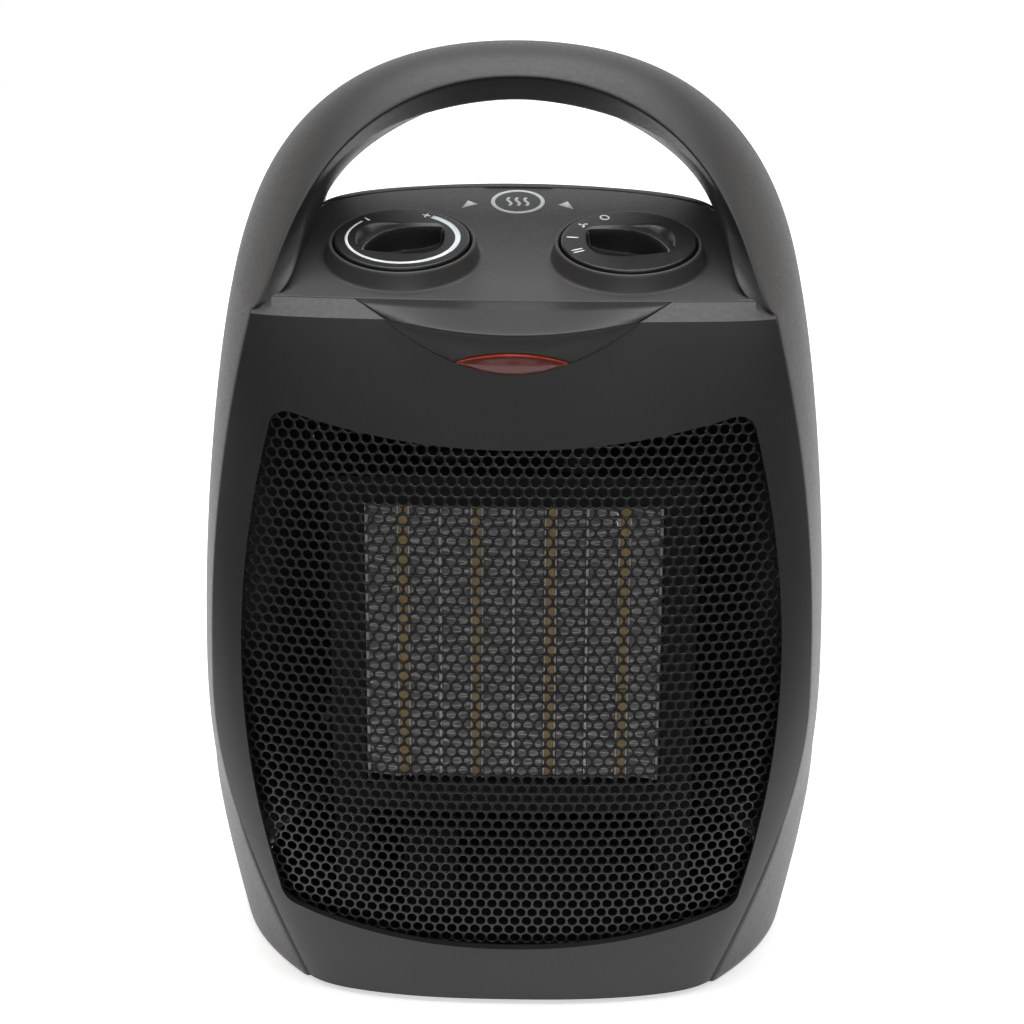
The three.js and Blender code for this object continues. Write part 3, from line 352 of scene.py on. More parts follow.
def shade(nodes, links, value, dark, light):
    """A colour between dark and light from a noise value."""
    mix = nodes.new("ShaderNodeMix")
    mix.data_type = "RGBA"
    mix.inputs["A"].default_value = (*dark, 1)
    mix.inputs["B"].default_value = (*light, 1)
    links.new(spread(nodes, links, value, 0, 1), mix.inputs["Factor"])
    return mix.outputs["Result"]


def bumped(nodes, links, shader, height, strength, distance):
    """Fine relief from a noise value, its depth in millimetres."""
    bump = nodes.new("ShaderNodeBump")
    bump.inputs["Strength"].default_value = strength
    bump.inputs["Distance"].default_value = distance * MM
    links.new(height, bump.inputs["Height"])
    links.new(bump.outputs["Normal"], shader.inputs["Normal"])


def moulded(name, dark, light, roughness, grain=900, grain_depth=0.05, specular=0.5):
    """Moulded plastic: a fine spark-eroded grain, with slow changes in colour and gloss."""
    material, nodes, links, shader = new_material(name)
    cloud = noise(nodes, links, 35, 3)
    fine = noise(nodes, links, grain, 2, 0.6)
    links.new(shade(nodes, links, cloud, dark, light), shader.inputs["Base Color"])
    gloss = spread(nodes, links, fine, roughness - 0.05, roughness + 0.06)
    links.new(gloss, shader.inputs["Roughness"])
    shader.inputs["Specular IOR Level"].default_value = specular
    bumped(nodes, links, shader, fine, 0.35, grain_depth)
    return material


def surface(name, dark, light, gloss, texture, relief):
    """A look whose colour, roughness and relief all follow one noise, with its shader."""
    material, nodes, links, shader = new_material(name)
    value = noise(nodes, links, *texture)
    links.new(shade(nodes, links, value, dark, light), shader.inputs["Base Color"])
    links.new(spread(nodes, links, value, *gloss), shader.inputs["Roughness"])
    bumped(nodes, links, shader, value, *relief)
    return material, shader


def metal(name, dark, light, roughness, metallic=1.0):
    """Sheet or drawn metal with faint marks and uneven gloss."""
    gloss = (roughness - 0.07, roughness + 0.1)
    material, shader = surface(name, dark, light, gloss, (400, 4, 0.7), (0.15, 0.05))
    shader.inputs["Metallic"].default_value = metallic
    return material


def fired_ceramic(name, dark, light):
    """Matt fired ceramic with fine specks."""
    return surface(name, dark, light, (0.5, 0.75), (700, 3, 0.7), (0.3, 0.1))[0]


def printed(name, dark, light):
    """Pad-printed ink, a little uneven."""
    return surface(name, dark, light, (0.45, 0.6), (1500, 2, 0.6), (0.1, 0.02))[0]


def tinted_lens(name, dark, light, transmission, roughness):
    """Clear tinted plastic, with a faint flow pattern inside it."""
    gloss = (roughness, roughness + 0.08)
    material, shader = surface(name, dark, light, gloss, (260, 2, 0.5), (0.08, 0.1))
    shader.inputs["Transmission Weight"].default_value = transmission
    shader.inputs["IOR"].default_value = 1.5
    return material


body_plastic = moulded("body_plastic", (0.019, 0.019, 0.019), (0.024, 0.024, 0.024), 0.45)
# The top panel, its dial collars and the deck ledges get the body's plastic painted lighter: painted light
# falling from above.
top_lit_plastic = moulded("top_lit_plastic", (0.037, 0.036, 0.035), (0.046, 0.045, 0.044), 0.5)
knob_plastic = moulded("knob_plastic", (0.010, 0.010, 0.010), (0.014, 0.014, 0.014), 0.36)
inner_plastic = moulded("inner_plastic", (0.005, 0.005, 0.005), (0.008, 0.008, 0.008), 0.75)
rubber = moulded("rubber", (0.010, 0.010, 0.010), (0.018, 0.018, 0.017), 0.85, 600, 0.1, 0.3)
grille_paint = moulded("grille_paint", (0.014, 0.014, 0.014), (0.020, 0.020, 0.020), 0.27, 1400, 0.03)
white_ink = printed("white_ink", (0.84, 0.90, 0.95), (0.90, 0.96, 1.0))
red_lens = tinted_lens("red_lens", (0.50, 0.07, 0.05), (0.60, 0.13, 0.10), 0.75, 0.12)
# A brighter, more opaque copy of the lens red: a painted highlight on the lens's upper edge.
red_rim_highlight = tinted_lens("red_rim_highlight", (0.80, 0.06, 0.02), (0.95, 0.14, 0.05), 0.25, 0.08)
lamp_glass = tinted_lens("lamp_glass", (0.75, 0.35, 0.28), (0.85, 0.50, 0.42), 0.6, 0.1)
aluminium = metal("aluminium", (0.78, 0.78, 0.77), (0.95, 0.95, 0.94), 0.42, metallic=0.5)
steel = metal("steel", (0.42, 0.42, 0.43), (0.60, 0.60, 0.60), 0.35)
copper = metal("copper", (0.50, 0.20, 0.10), (0.66, 0.30, 0.16), 0.35)
brass = metal("brass", (0.55, 0.38, 0.14), (0.72, 0.52, 0.22), 0.3)
heater_ceramic = fired_ceramic("heater_ceramic", (0.40, 0.27, 0.12), (0.56, 0.41, 0.21))
nylon = moulded("nylon", (0.55, 0.52, 0.44), (0.66, 0.63, 0.54), 0.55)

SLOT_LOOKS = {
    "black_plastic": body_plastic,
    "dark_plastic": inner_plastic,
    "grille_paint": grille_paint,
    "rubber": rubber,
    "red_lens": red_lens,
    "lamp_glass": lamp_glass,
    "aluminium": aluminium,
    "steel": steel,
    "ceramic": heater_ceramic,
    "copper": copper,
    "brass": brass,
    "nylon": nylon,
}
# These can be seen through the mesh and are kept as dark as the duct, whatever they are made of: painted
# shade for the inside of the heater.
SHADE_DARKENED_PARTS = ("thermal_cutout", "thermal_fuse", "terminal_block")
for part in frame["record"]["subparts"]:
    look = inner_plastic if part["node"] in SHADE_DARKENED_PARTS else SLOT_LOOKS[part["material_slot"]]
    for material_slot in frame["nodes"][part["node"]].material_slots:
        material_slot.material = look


# ---- Front panel: the face around the grille opening, and the bevel above it ----
TOP_STEPS = 72
SIDE_STEPS = 72
CORNER_STEPS = 8
FACE_ROWS = 22
CREASE_Z = 202.2
CORNER_REACH = 7
CORNER_SPREAD = 0.6
FOOT_DROP = 0.8


def opening_outline(grow=0.0):
    """The grille opening, clockwise from its top left corner, as stretches of X and Z points."""
    r = GRILLE_CORNER_RADIUS
    corner = GRILLE_CORNER_X + grow
    top, bottom = GRILLE_TOP + grow, GRILLE_BOTTOM - grow
    bulge = 2 * (GRILLE_HALF_WIDTH + grow) - corner
    middle = (GRILLE_TOP + GRILLE_BOTTOM) / 2
    side_x = corner + CORNER_SPREAD
    foot = bottom - FOOT_DROP
    stretches = [
        ([(-corner + r, top), (0, top - 2 * GRILLE_TOP_SAG), (corner - r, top)], TOP_STEPS),
        ([(corner - r, top), (corner, top), (side_x, top - r)], CORNER_STEPS),
        ([(side_x, top - r), (bulge, middle), (side_x, bottom + r)], SIDE_STEPS),
        ([(side_x, bottom + r), (corner, bottom), (corner - r, foot)], CORNER_STEPS),
        ([(corner - r, foot), (0, bottom - 2 * GRILLE_BOTTOM_SAG), (-corner + r, foot)], TOP_STEPS),
        ([(-corner + r, foot), (-corner, bottom), (-side_x, bottom + r)], CORNER_STEPS),
        ([(-side_x, bottom + r), (-bulge, middle), (-side_x, top - r)], SIDE_STEPS),
        ([(-side_x, top - r), (-corner, top), (-corner + r, top)], CORNER_STEPS),
    ]
    return np.vstack([bezier(p, np.arange(steps) / steps) for p, steps in stretches])


def edge_outline():
    """The face's outer edge, point for point opposite the opening's, with its corners kept sharp."""
    top_x = float(fascia_half_width(CREASE_Z))
    foot_x = float(fascia_half_width(FASCIA_BOTTOM))
    half = CORNER_STEPS // 2

    def across(x0, x1, z, steps):
        return [(x0 + (x1 - x0) * i / steps, z) for i in range(steps)]

    def down(z0, z1, side, steps):
        heights = [z0 + (z1 - z0) * i / steps for i in range(steps)]
        return [(side * float(fascia_half_width(z)), z) for z in heights]

    near, far = top_x - CORNER_REACH, foot_x - CORNER_REACH
    high, low = CREASE_Z - CORNER_REACH, FASCIA_BOTTOM + CORNER_REACH
    points = across(-near, near, CREASE_Z, TOP_STEPS)
    points += across(near, top_x, CREASE_Z, half) + down(CREASE_Z, high, 1, half)
    points += down(high, low, 1, SIDE_STEPS)
    points += down(low, FASCIA_BOTTOM, 1, half) + across(foot_x, far, FASCIA_BOTTOM, half)
    points += across(far, -far, FASCIA_BOTTOM, TOP_STEPS)
    points += across(-far, -foot_x, FASCIA_BOTTOM, half) + down(FASCIA_BOTTOM, low, -1, half)
    points += down(low, high, -1, SIDE_STEPS)
    points += down(high, CREASE_Z, -1, half) + across(-top_x, -near, CREASE_Z, half)
    return np.array(points)


BEVEL_ROWS = 3
BEVEL_FRONT_X = 64.3
BEVEL_CORNER_X = 69
BEVEL_CORNER_DROP = 2.6
BEVEL_CORNER_RECESS = 2.8
LID_FRONT_BOW = 1.5


def lid_front_y(x):
    """The top panel's front edge, bowed a little forwards at its middle."""
    return LID_FRONT_Y + LID_FRONT_BOW * np.minimum(1, np.abs(x) / LID_FRONT_HALF_WIDTH) ** 2


def front_panel():
    """The panel's face from the opening out to its edge, then the bevel that rises to the top panel."""
    inner, outer = opening_outline(), edge_outline()
    rows = []
    for step in range(FACE_ROWS + 1):
        share = step / FACE_ROWS
        flat = inner + (outer - inner) * share
        rows.append(upright(flat, front_y(flat[:, 0], flat[:, 1])))
    crease = rows[-1]
    corner = np.clip((np.abs(outer[:, 0]) - BEVEL_FRONT_X) / (BEVEL_CORNER_X - BEVEL_FRONT_X), 0, 1)
    rim_y = lid_front_y(outer[:, 0])
    top_edge = np.column_stack([
        outer[:, 0],
        rim_y - GAP + BEVEL_CORNER_RECESS * corner,
        lid_z(rim_y) - 0.2 - BEVEL_CORNER_DROP * corner,
    ])
    side_edge = crease + (0, 0.6, 0)
    on_top = (outer[:, 1] > CREASE_Z - 0.01)[:, None]
    edge = np.where(on_top, top_edge, side_edge)
    rows += [crease + (edge - crease) * k / BEVEL_ROWS for k in range(1, BEVEL_ROWS + 1)]
    grid = np.array(rows)
    return wall(grid, grid + (0, WALL, 0), closed_columns=True)


# ---- Visor over the indicator ----
VISOR_HALF_WIDTH = 33
VISOR_LIP_Y = -73
VISOR_LIP_Z = 202
SCOOP_BOTTOM_Z = 188
SCOOP_TOP_Z = 201.4
SCOOP_POWER = 1.9
SCOOP_HOLLOW = 0.9
VISOR_FAN = 1.27
VISOR_END_RISE = 0.4
LIP_RADIUS = 0.7


def scoop_foot(x):
    """The Y and Z of the line where the scoop runs out into the panel."""
    t = abs(x) / VISOR_HALF_WIDTH
    z = SCOOP_BOTTOM_Z + (SCOOP_TOP_Z - SCOOP_BOTTOM_Z) * t**SCOOP_POWER
    return float(front_y(x, z)), z


def visor_lip(x):
    """The Y and Z of the visor's lip, which swings back to the panel at its ends."""
    t = abs(x) / VISOR_HALF_WIDTH
    end_y = float(front_y(VISOR_HALF_WIDTH, VISOR_LIP_Z)) - 0.3
    return VISOR_LIP_Y + (end_y - VISOR_LIP_Y) * t**2, VISOR_LIP_Z + VISOR_END_RISE * t**2


def scoop_y(x, z):
    """The scoop's face at a height, from its foot up to the lip, slightly hollow."""
    foot_y, foot_z = scoop_foot(x)
    lip_y, lip_z = visor_lip(x)
    share = np.clip((z - foot_z) / max(lip_z - foot_z, 1e-6), 0, 1)
    hollow = SCOOP_HOLLOW * np.sin(np.pi * share) * (1 - (x / VISOR_HALF_WIDTH) ** 2)
    return float(foot_y + (lip_y - foot_y) * share + hollow)


def visor_slice(x):
    """A slice of the visor: over its top from the back, round its lip and down the scoop."""
    foot_y, foot_z = scoop_foot(x)
    lip_y, lip_z = visor_lip(x)
    room = 1 - abs(x) / VISOR_HALF_WIDTH
    r = LIP_RADIUS * min(1, 0.15 + room * 4)
    top_y = float(lid_front_y(VISOR_FAN * x)) - GAP
    top_z = float(lid_z(top_y)) - 0.1
    points = [(VISOR_FAN * x, top_y, top_z)]
    back, run = np.array([top_y, top_z]), np.array([lip_y, lip_z])
    for share in (0.3, 0.6, 0.85):
        y, z = back + (run - back) * share
        points.append((x * (VISOR_FAN + (1 - VISOR_FAN) * share), y, z))
    top = run + (back - run) / np.linalg.norm(back - run) * r
    under = np.array([scoop_y(x, lip_z - r), lip_z - r])
    for t in (0, 0.25, 0.5, 0.75, 1):
        y, z = bezier([top, run, under], [t])[0]
        points.append((x, y, z))
    for share in np.linspace(0.08, 1, 14):
        z = (lip_z - r) + (foot_z - lip_z + r) * share
        points.append((x, scoop_y(x, z), z))
    points.append((x, foot_y + 1.6, foot_z))
    points.append((VISOR_FAN * x, top_y + 1.3, top_z - 2))
    return points


LENS_STEPS = 40
LENS_RIDGE_Z = 191.4
LENS_DOME = 0.25
RIM_RADIUS = 0.12
RIM_SWELL = 0.24
RIM_PROUD = 0.25
RIM_FLATNESS = 0.8


def lens_edge(tip, middle_z):
    """One edge of the lens, from one tip to the other through a height at the middle."""
    return [(tip, LENS_TIP_Z), (0, 2 * middle_z - LENS_TIP_Z), (-tip, LENS_TIP_Z)]


def lens_outline(grow):
    """The lens as a pointed eye: its lower edge, then its upper edge back, as X and Z points."""
    tip = LENS_HALF_WIDTH + grow
    t = np.arange(LENS_STEPS) / LENS_STEPS
    lower = bezier(lens_edge(-tip, LENS_BOTTOM - grow), t)
    upper = bezier(lens_edge(tip, LENS_TOP + grow), t)
    return np.vstack([lower, upper])


def panel_skin(outline):
    """The Y of the panel or of its scoop, whichever is further forward, at points in X and Z."""
    return np.array([min(scoop_y(x, z), float(front_y(x, z))) for x, z in outline])


def lens_layer(grow, proud):
    """The lens's outline, standing proud of the panel."""
    outline = lens_outline(grow)
    return upright(outline, panel_skin(outline) - proud)


def lens_body():
    """The lens: a rounded rim, then a slightly domed face closed to a middle ridge."""
    rim = ((-0.1, -4), (-0.1, 0.1), (-0.22, 0.35), (-0.5, 0.45))
    layers = [lens_layer(grow, proud) for grow, proud in rim]
    edge = layers[-1][:, [0, 2]]
    for share in (0.25, 0.5, 0.75, 0.93):
        outline = edge * (1 - share) + (0, LENS_RIDGE_Z * share)
        layers.append(upright(outline, panel_skin(outline) - 0.5 - LENS_DOME * share))
    return loft(layers)


def lens_rim():
    """The thick edge of the lens along its upper side, in a brighter, more opaque red as a painted highlight.
    """
    bead = []
    for t in np.linspace(0.02, 0.98, 36):
        x, z = bezier(lens_edge(LENS_HALF_WIDTH, LENS_TOP - 0.1), [t])[0]
        radius = RIM_RADIUS + RIM_SWELL * math.sin(math.pi * t) ** 0.7
        swing = circle(8) * radius
        y = scoop_y(x, z) - RIM_PROUD + swing[:, 0] * RIM_FLATNESS
        bead.append(np.column_stack([np.full(8, x), y, z + swing[:, 1]]))
    return loft(bead)


panel = make("front_panel_face", front_panel(), body_plastic, ["front_panel"])
round_edges(panel, 0.45, 3, 24)
visor_slices = [visor_slice(x) for x in np.linspace(-VISOR_HALF_WIDTH, VISOR_HALF_WIDTH, 67)]
visor = make("front_panel_visor", loft(visor_slices), body_plastic)
cut_away(visor, [loft([lens_layer(0.15, 8), lens_layer(0.15, -2.2)])])
make("indicator_lens_body", lens_body(), red_lens, ["indicator_lens"])
make("indicator_lens_rim", lens_rim(), red_rim_highlight)


# ---- Perforated grille ----
HOLE_SIDES = 12
SHEET_MARGIN = 2.4
SHEET_SETBACK = WALL + GAP
HOLE_COLUMNS = 26
HOLE_MARGIN = 16


def inside(outline, points):
    """Which of the points lie inside a closed outline."""
    x, z = points[:, :1], points[:, 1:]
    a, b = outline, np.roll(outline, -1, axis=0)
    crosses = (a[:, 1] > z) != (b[:, 1] > z)
    run = np.where(b[:, 1] == a[:, 1], 1, b[:, 1] - a[:, 1])
    at = a[:, 0] + (z - a[:, 1]) * (b[:, 0] - a[:, 0]) / run
    return (np.sum(crosses & (x < at), axis=1) % 2) == 1


def hole_centres():
    """The centres of the holes, in staggered rows, as far as the sheet reaches."""
    row_pitch = HOLE_PITCH * math.sqrt(3) / 2
    rows = range(-2, int((GRILLE_TOP - GRILLE_BOTTOM) / row_pitch) + 8)
    low = GRILLE_BOTTOM - HOLE_MARGIN
    centres = np.array([
        ((i + 0.5 * (j % 2)) * HOLE_PITCH, low + j * row_pitch)
        for j in rows for i in range(-HOLE_COLUMNS, HOLE_COLUMNS + 1)])
    return centres[inside(opening_outline(SHEET_MARGIN - HOLE_PITCH / 2), centres)]


def grille():
    """A sheet of six-sided cells with a round, soft-lipped hole in each, laid on the bowed skin."""
    centres = hole_centres()
    around = circle(HOLE_SIDES)
    flat_to_flat = HOLE_PITCH / 2
    reach = np.where(np.arange(HOLE_SIDES) % 2 == 0, flat_to_flat, flat_to_flat / math.cos(math.pi / 6))
    layers = [(reach, 0.0), (HOLE_RADIUS + 0.14, 0.0), (HOLE_RADIUS + 0.05, 0.06), (HOLE_RADIUS, 0.22)]
    layers += [(HOLE_RADIUS, GRILLE_SHEET), (reach, GRILLE_SHEET)]
    rings = []
    for radius, depth in layers:
        x = centres[:, :1] + radius * around[:, 0]
        z = centres[:, 1:] + radius * around[:, 1]
        rings.append(np.stack([x, front_y(x, z) + SHEET_SETBACK + depth, z], axis=-1))
    points = np.stack(rings, axis=1)
    cells, count = len(centres), len(layers)
    quad = np.array(grid_faces(count, HOLE_SIDES, closed_columns=True))
    faces = (quad[None] + (np.arange(cells) * count * HOLE_SIDES)[:, None, None]).reshape(-1, 4)
    return points.reshape(-1, 3), faces.tolist()


def close_border(piece):
    """Closes the open border between the front and the back of the perforated sheet."""
    shape = bmesh.new()
    shape.from_mesh(piece.data)
    border = [edge for edge in shape.edges if edge.is_boundary]
    bmesh.ops.bridge_loops(shape, edges=border)
    bmesh.ops.recalc_face_normals(shape, faces=shape.faces)
    shape.to_mesh(piece.data)
    shape.free()


sheet = make("front_grille_sheet", grille(), grille_paint, ["front_grille"], weld=True)
close_border(sheet)

# ---- Side walls and the front half of the hoop ----
FLANK_COLUMNS = 18
INNER_FACE_COLUMNS = 7
INNER_BEVEL_COLUMNS = 7
RIDGE_ROUND = 1.7
BODY_ROWS = 90
HOOP_ROWS = 44
ROOT_Z = 199
SWOOSH_SIDE_Z = 64
SWOOSH_FRONT_Z = 51
SWOOSH_DEPTH = 1.1
SWOOSH_FADE = 9
STRAIGHTENING_Z = 190
DECK_FRONT_Y = -53
DECK_WIDTH = 3


def flank(z, s):
    """The side wall's outer face at a height, from the panel's edge at s = 1 to the widest line at s = 0."""
    edge = fascia_half_width(z) + GAP
    side = half_width(z)
    edge_y = front_y(edge - GAP, z)
    edge_y = edge_y + (FRONT_RIDGE[0][1] - edge_y) * smooth_step(STRAIGHTENING_Z, SHOULDER, z)
    return side - (side - edge) * s**FLANK_BOW, edge_y * s


def hoop_flank(t, s, ridge):
    """The hoop's outer face at t along it, from the ridge at s = 1 to the crest at s = 0."""
    mid, edge = bezier(CREST, t), bezier(ridge, t)
    s = np.asarray(s)[..., None]
    blend = np.concatenate([s**FLANK_BOW, s, s**FLANK_BOW], axis=-1)
    return mid + (edge - mid) * blend


def along(points, steps, end=1.0):
    """Evenly spaced points along a bent line."""
    points = np.array(points, float)
    lengths = np.r_[0, np.cumsum(np.linalg.norm(np.diff(points, axis=0), axis=1))]
    at = np.linspace(0, lengths[-1] * end, steps)
    return np.column_stack([np.interp(at, lengths, points[:, k]) for k in range(3)])


def hoop_inside(t, seam, ridge, inner, other_inner):
    """The hoop's inner face and inner bevel, from the seam to short of the ridge."""
    near, far = bezier(inner, t), bezier(other_inner, t)
    share = (seam - near[1]) / (far[1] - near[1])
    face = along([near + (far - near) * share, near], INNER_FACE_COLUMNS + 1)
    bevel = along([near, bezier(ridge, t)], INNER_BEVEL_COLUMNS + 1)
    return np.vstack([face, bevel[1:-1]])


def softened(ring, corners, radius):
    """A closed ring with some of its corners rounded, each by three points."""
    count = len(ring)
    points = []
    for i, point in enumerate(ring):
        if i not in corners:
            points.append(point)
            continue
        before, after = ring[i - 1], ring[(i + 1) % count]
        reach_back = min(radius, 0.45 * np.linalg.norm(before - point))
        reach_on = min(radius, 0.45 * np.linalg.norm(after - point))
        start = point + (before - point) / np.linalg.norm(before - point) * reach_back
        end = point + (after - point) / np.linalg.norm(after - point) * reach_on
        points += list(bezier([start, point, end], [0, 0.33, 0.67, 1]))
    return np.array(points)


def front_sections():
    """The front housing's sections: up one side wall, then along that arm to the middle of the crown."""
    s = np.linspace(1, 0, FLANK_COLUMNS)
    seam = SEAM_Y - GAP / 2
    sections = []
    for z in np.r_[np.linspace(HOUSING_BOTTOM, ROOT_Z, BODY_ROWS), SHOULDER - 2, SHOULDER - 0.8]:
        x, y = flank(z, s)
        crease_z = SWOOSH_SIDE_Z + (SWOOSH_FRONT_Z - SWOOSH_SIDE_Z) * s
        below = np.maximum(0, crease_z - z)
        x = x + SWOOSH_DEPTH * (1 - np.exp(-below / SWOOSH_FADE)) * (1 - 0.5 * s)
        outer = np.column_stack([x, y, np.full_like(x, z)])
        outer = np.vstack([outer, (half_width(z), seam, z)])
        if z <= ROOT_Z:
            step = np.gradient(outer, axis=0)
            inward = np.column_stack([-step[:, 1], step[:, 0], 0 * step[:, 0]])
            inward /= np.linalg.norm(inward, axis=1, keepdims=True)
            inner = outer + inward * WALL
            inner[:, 1] = np.minimum(inner[:, 1], seam)
            inner[-1, 1] = seam
            inner = along(inner[::-1], INNER_FACE_COLUMNS + INNER_BEVEL_COLUMNS)
        else:
            inner = hoop_inside(0, seam, FRONT_RIDGE, FRONT_INNER, REAR_INNER) + (0, 0, z - SHOULDER)
        sections.append(np.vstack([outer, inner]))
    for t in np.linspace(0, 1, HOOP_ROWS):
        outer = hoop_flank(t, s, FRONT_RIDGE)
        outer = np.vstack([outer, bezier(CREST, t) + (0, seam, 0)])
        inner = hoop_inside(t, seam, FRONT_RIDGE, FRONT_INNER, REAR_INNER)
        sections.append(np.vstack([outer, inner]))
    return sections


def arm_to_arm(sections, seam_corner):
    """Both arms as one closed body, from the foot of one side, over the crown, to the other foot."""
    ridge_corner, inner_corner = 0, seam_corner + 1 + INNER_FACE_COLUMNS
    rings = [softened(section, [ridge_corner, inner_corner], RIDGE_ROUND) for section in sections]
    others = [ring * (-1, 1, 1) for ring in rings[-2::-1]]
    return loft(rings + others)


def deck_strip(side):
    """The narrow ledge between the top panel and the hoop's inner face, in front of the seam."""
    y = np.linspace(DECK_FRONT_Y, SEAM_Y - GAP / 2, 24)
    inner = lid_side_x(y) + GAP
    outer = inner + DECK_WIDTH
    top = lid_z(y) - 0.15
    grid = np.array([
        np.column_stack([side * inner, y, top]),
        np.column_stack([side * outer, y, top]),
    ])
    return wall(grid, grid - (0, 0, 2.2))


LID_WAIST = (56, -3)
lid_side = np.vstack([
    bezier([(LID_FRONT_HALF_WIDTH, LID_FRONT_Y), (59.5, -40), (57.5, -28), LID_WAIST], np.linspace(0, 1, 60)),
    bezier([LID_WAIST, (54, 7), (32, LID_REAR_Y), (0, LID_REAR_Y)], np.linspace(0, 1, 90))[1:],
])


def lid_side_x(y):
    """The half width of the top panel at a depth."""
    return np.interp(y, lid_side[:-1, 1], lid_side[:-1, 0])


shell = arm_to_arm(front_sections(), FLANK_COLUMNS)
make("front_housing_shell", shell, body_plastic, ["front_housing"])
make("front_housing_deck", merged(deck_strip(1), deck_strip(-1)), top_lit_plastic)

# ---- Rear housing and the rear half of the hoop ----
REAR_COLUMNS = 120
CROWN_ROWS = 26
CROWN_Z = 196
NARROWED_Z = 212
CROWN_MARGIN = 1.5
CROWN_SOFTENING = 0.8
RIM_Z = 217
RIM_DEPTH = 2.4
INTAKE_Z = 100
INTAKE_HALF_WIDTH = 46
INTAKE_HALF_HEIGHT = 52
INTAKE_RIB = 3
HOLE_STEPS = 32
CUTTER_REACH = 20
SLOTS = 8
SLOT_HEIGHT = 6
INLET_X = -48
INLET_Z = 22
INLET_RADIUS = 6
SCREW_PLACES = [(side * 60, z) for side in (-1, 1) for z in (34, 160)]
SCREW_HEAD_RADIUS = 3.6
SCREW_SEAT = 5.2
SHANK_RADIUS = 1.4
BOSS_RADIUS = 5.4
BOSS_DEPTH = 6
BOSS_IN_WALL = 1.0


def rear_point(angle, z):
    """The rear wall's outer face: a squared ellipse that narrows to the crown above the shoulder."""
    narrow = smooth_step(CROWN_Z, NARROWED_Z, z)
    between_arms = inner_half_width(np.maximum(z, REAR_INNER[0][2])) + CROWN_MARGIN
    side = half_width(z) * (1 - narrow) + between_arms * narrow
    power = 2 / (REAR_SQUARENESS - CROWN_SOFTENING * narrow)
    cosine, sine = np.cos(angle), np.abs(np.sin(angle))
    x = side * np.sign(cosine) * np.abs(cosine) ** power
    return np.stack([x, np.maximum(rear_depth(z) * sine**power, SEAM_Y + GAP / 2), z + 0 * x], axis=-1)


def rear_y(x, z):
    """The depth of the rear wall's outer face, below the crown."""
    across = abs(x) / float(half_width(z))
    return float(rear_depth(z)) * (1 - across**REAR_SQUARENESS) ** (1 / REAR_SQUARENESS)


def rear_wall():
    """The rear wall as a skin, from its foot up over the crown and down into the rim of the top panel."""
    angles = np.linspace(0, math.pi, REAR_COLUMNS + 1)
    heights = np.linspace(HOUSING_BOTTOM, CROWN_Z, BODY_ROWS)
    rows = [rear_point(angles, np.full_like(angles, z)) for z in heights]
    rim_y = rear_point(angles, np.full_like(angles, RIM_Z))[:, 1]
    rim_z = lid_z(rim_y) - 0.1
    for share in np.linspace(0, 1, CROWN_ROWS + 1)[1:]:
        z = CROWN_Z + (rim_z - CROWN_Z) * (1 - (1 - share) ** 1.6)
        rows.append(rear_point(angles, z))
    start = np.searchsorted(lid_side[:, 1], SEAM_Y + GAP / 2)
    rim = lid_side[start:]
    lengths = np.r_[0, np.cumsum(np.linalg.norm(np.diff(rim, axis=0), axis=1))]
    at = np.abs(angles - math.pi / 2)
    at = lengths[-1] * (1 - at / at.max())
    x = np.interp(at, lengths, rim[:, 0]) * np.sign(np.cos(angles) + 1e-12)
    y = np.interp(at, lengths, rim[:, 1]) + GAP
    rows.append(np.column_stack([x, y, lid_z(y) - 0.15]))
    rows.append(rows[-1] - (0, 0, RIM_DEPTH))
    grid = np.array(rows)
    inner = grid - grid_normals(grid) * WALL
    inner[-3:] = grid[-3:] - (0, 0, WALL)
    inner[-1] = grid[-1] + (0, 0.5, 0)
    inner[:, :, 1] = np.maximum(inner[:, :, 1], SEAM_Y + GAP / 2)
    return wall(grid, inner)


def prism_back(outline, y0, y1):
    """A flat outline in X and Z pushed from y0 to y1."""
    return loft([upright(outline, y) for y in (y0, y1)])


def slot_outline(x0, x1, z):
    """A slot with round ends."""
    r = SLOT_HEIGHT / 2 - 0.01
    turn = np.linspace(-math.pi / 2, math.pi / 2, 9)
    right = [(x1 - r + r * math.cos(a), z + r * math.sin(a)) for a in turn]
    left = [(x0 + r - r * math.cos(a), z - r * math.sin(a)) for a in turn]
    return right + left


def round_hole(x, z, radius, depth):
    """A cutter for a round hole in the rear wall."""
    y = rear_y(x, z)
    return prism_back(circle(HOLE_STEPS) * radius + (x, z), y - depth, y + CUTTER_REACH)


def intake_cutters():
    """Cutters for two columns of slots whose ends follow an oval."""
    pitch = 2 * INTAKE_HALF_HEIGHT / SLOTS
    cutters = []
    for i in range(SLOTS):
        z = INTAKE_Z - INTAKE_HALF_HEIGHT + pitch * (i + 0.5)
        half = INTAKE_HALF_WIDTH * math.sqrt(1 - ((z - INTAKE_Z) / (INTAKE_HALF_HEIGHT * 1.25)) ** 2)
        for x0, x1 in ((-half, -INTAKE_RIB / 2), (INTAKE_RIB / 2, half)):
            cutters.append(prism_back(slot_outline(x0, x1, z), 40, 90))
    return cutters


def rear_hoop():
    """The rear half of the hoop, its roots sunk into the rear wall."""
    s = np.linspace(1, 0, FLANK_COLUMNS)
    seam = SEAM_Y + GAP / 2
    sections = []
    for t in np.linspace(0, 1, HOOP_ROWS):
        outer = np.vstack([hoop_flank(t, s, REAR_RIDGE)[:-1], bezier(CREST, t) + (0, seam, 0)])
        inner = hoop_inside(t, seam, REAR_RIDGE, REAR_INNER, FRONT_INNER)
        sections.append(np.vstack([outer, inner]))
    middle = sections[0].mean(axis=0)

    def sunk(drop, pull):
        moved = sections[0] + (middle - sections[0]) * (pull, pull * 0.6, 0)
        moved[:, 1] = np.maximum(moved[:, 1], seam)
        return moved - (0, 0, drop)

    return arm_to_arm([sunk(14, 0.22), sunk(5, 0.08)] + sections, FLANK_COLUMNS - 1)


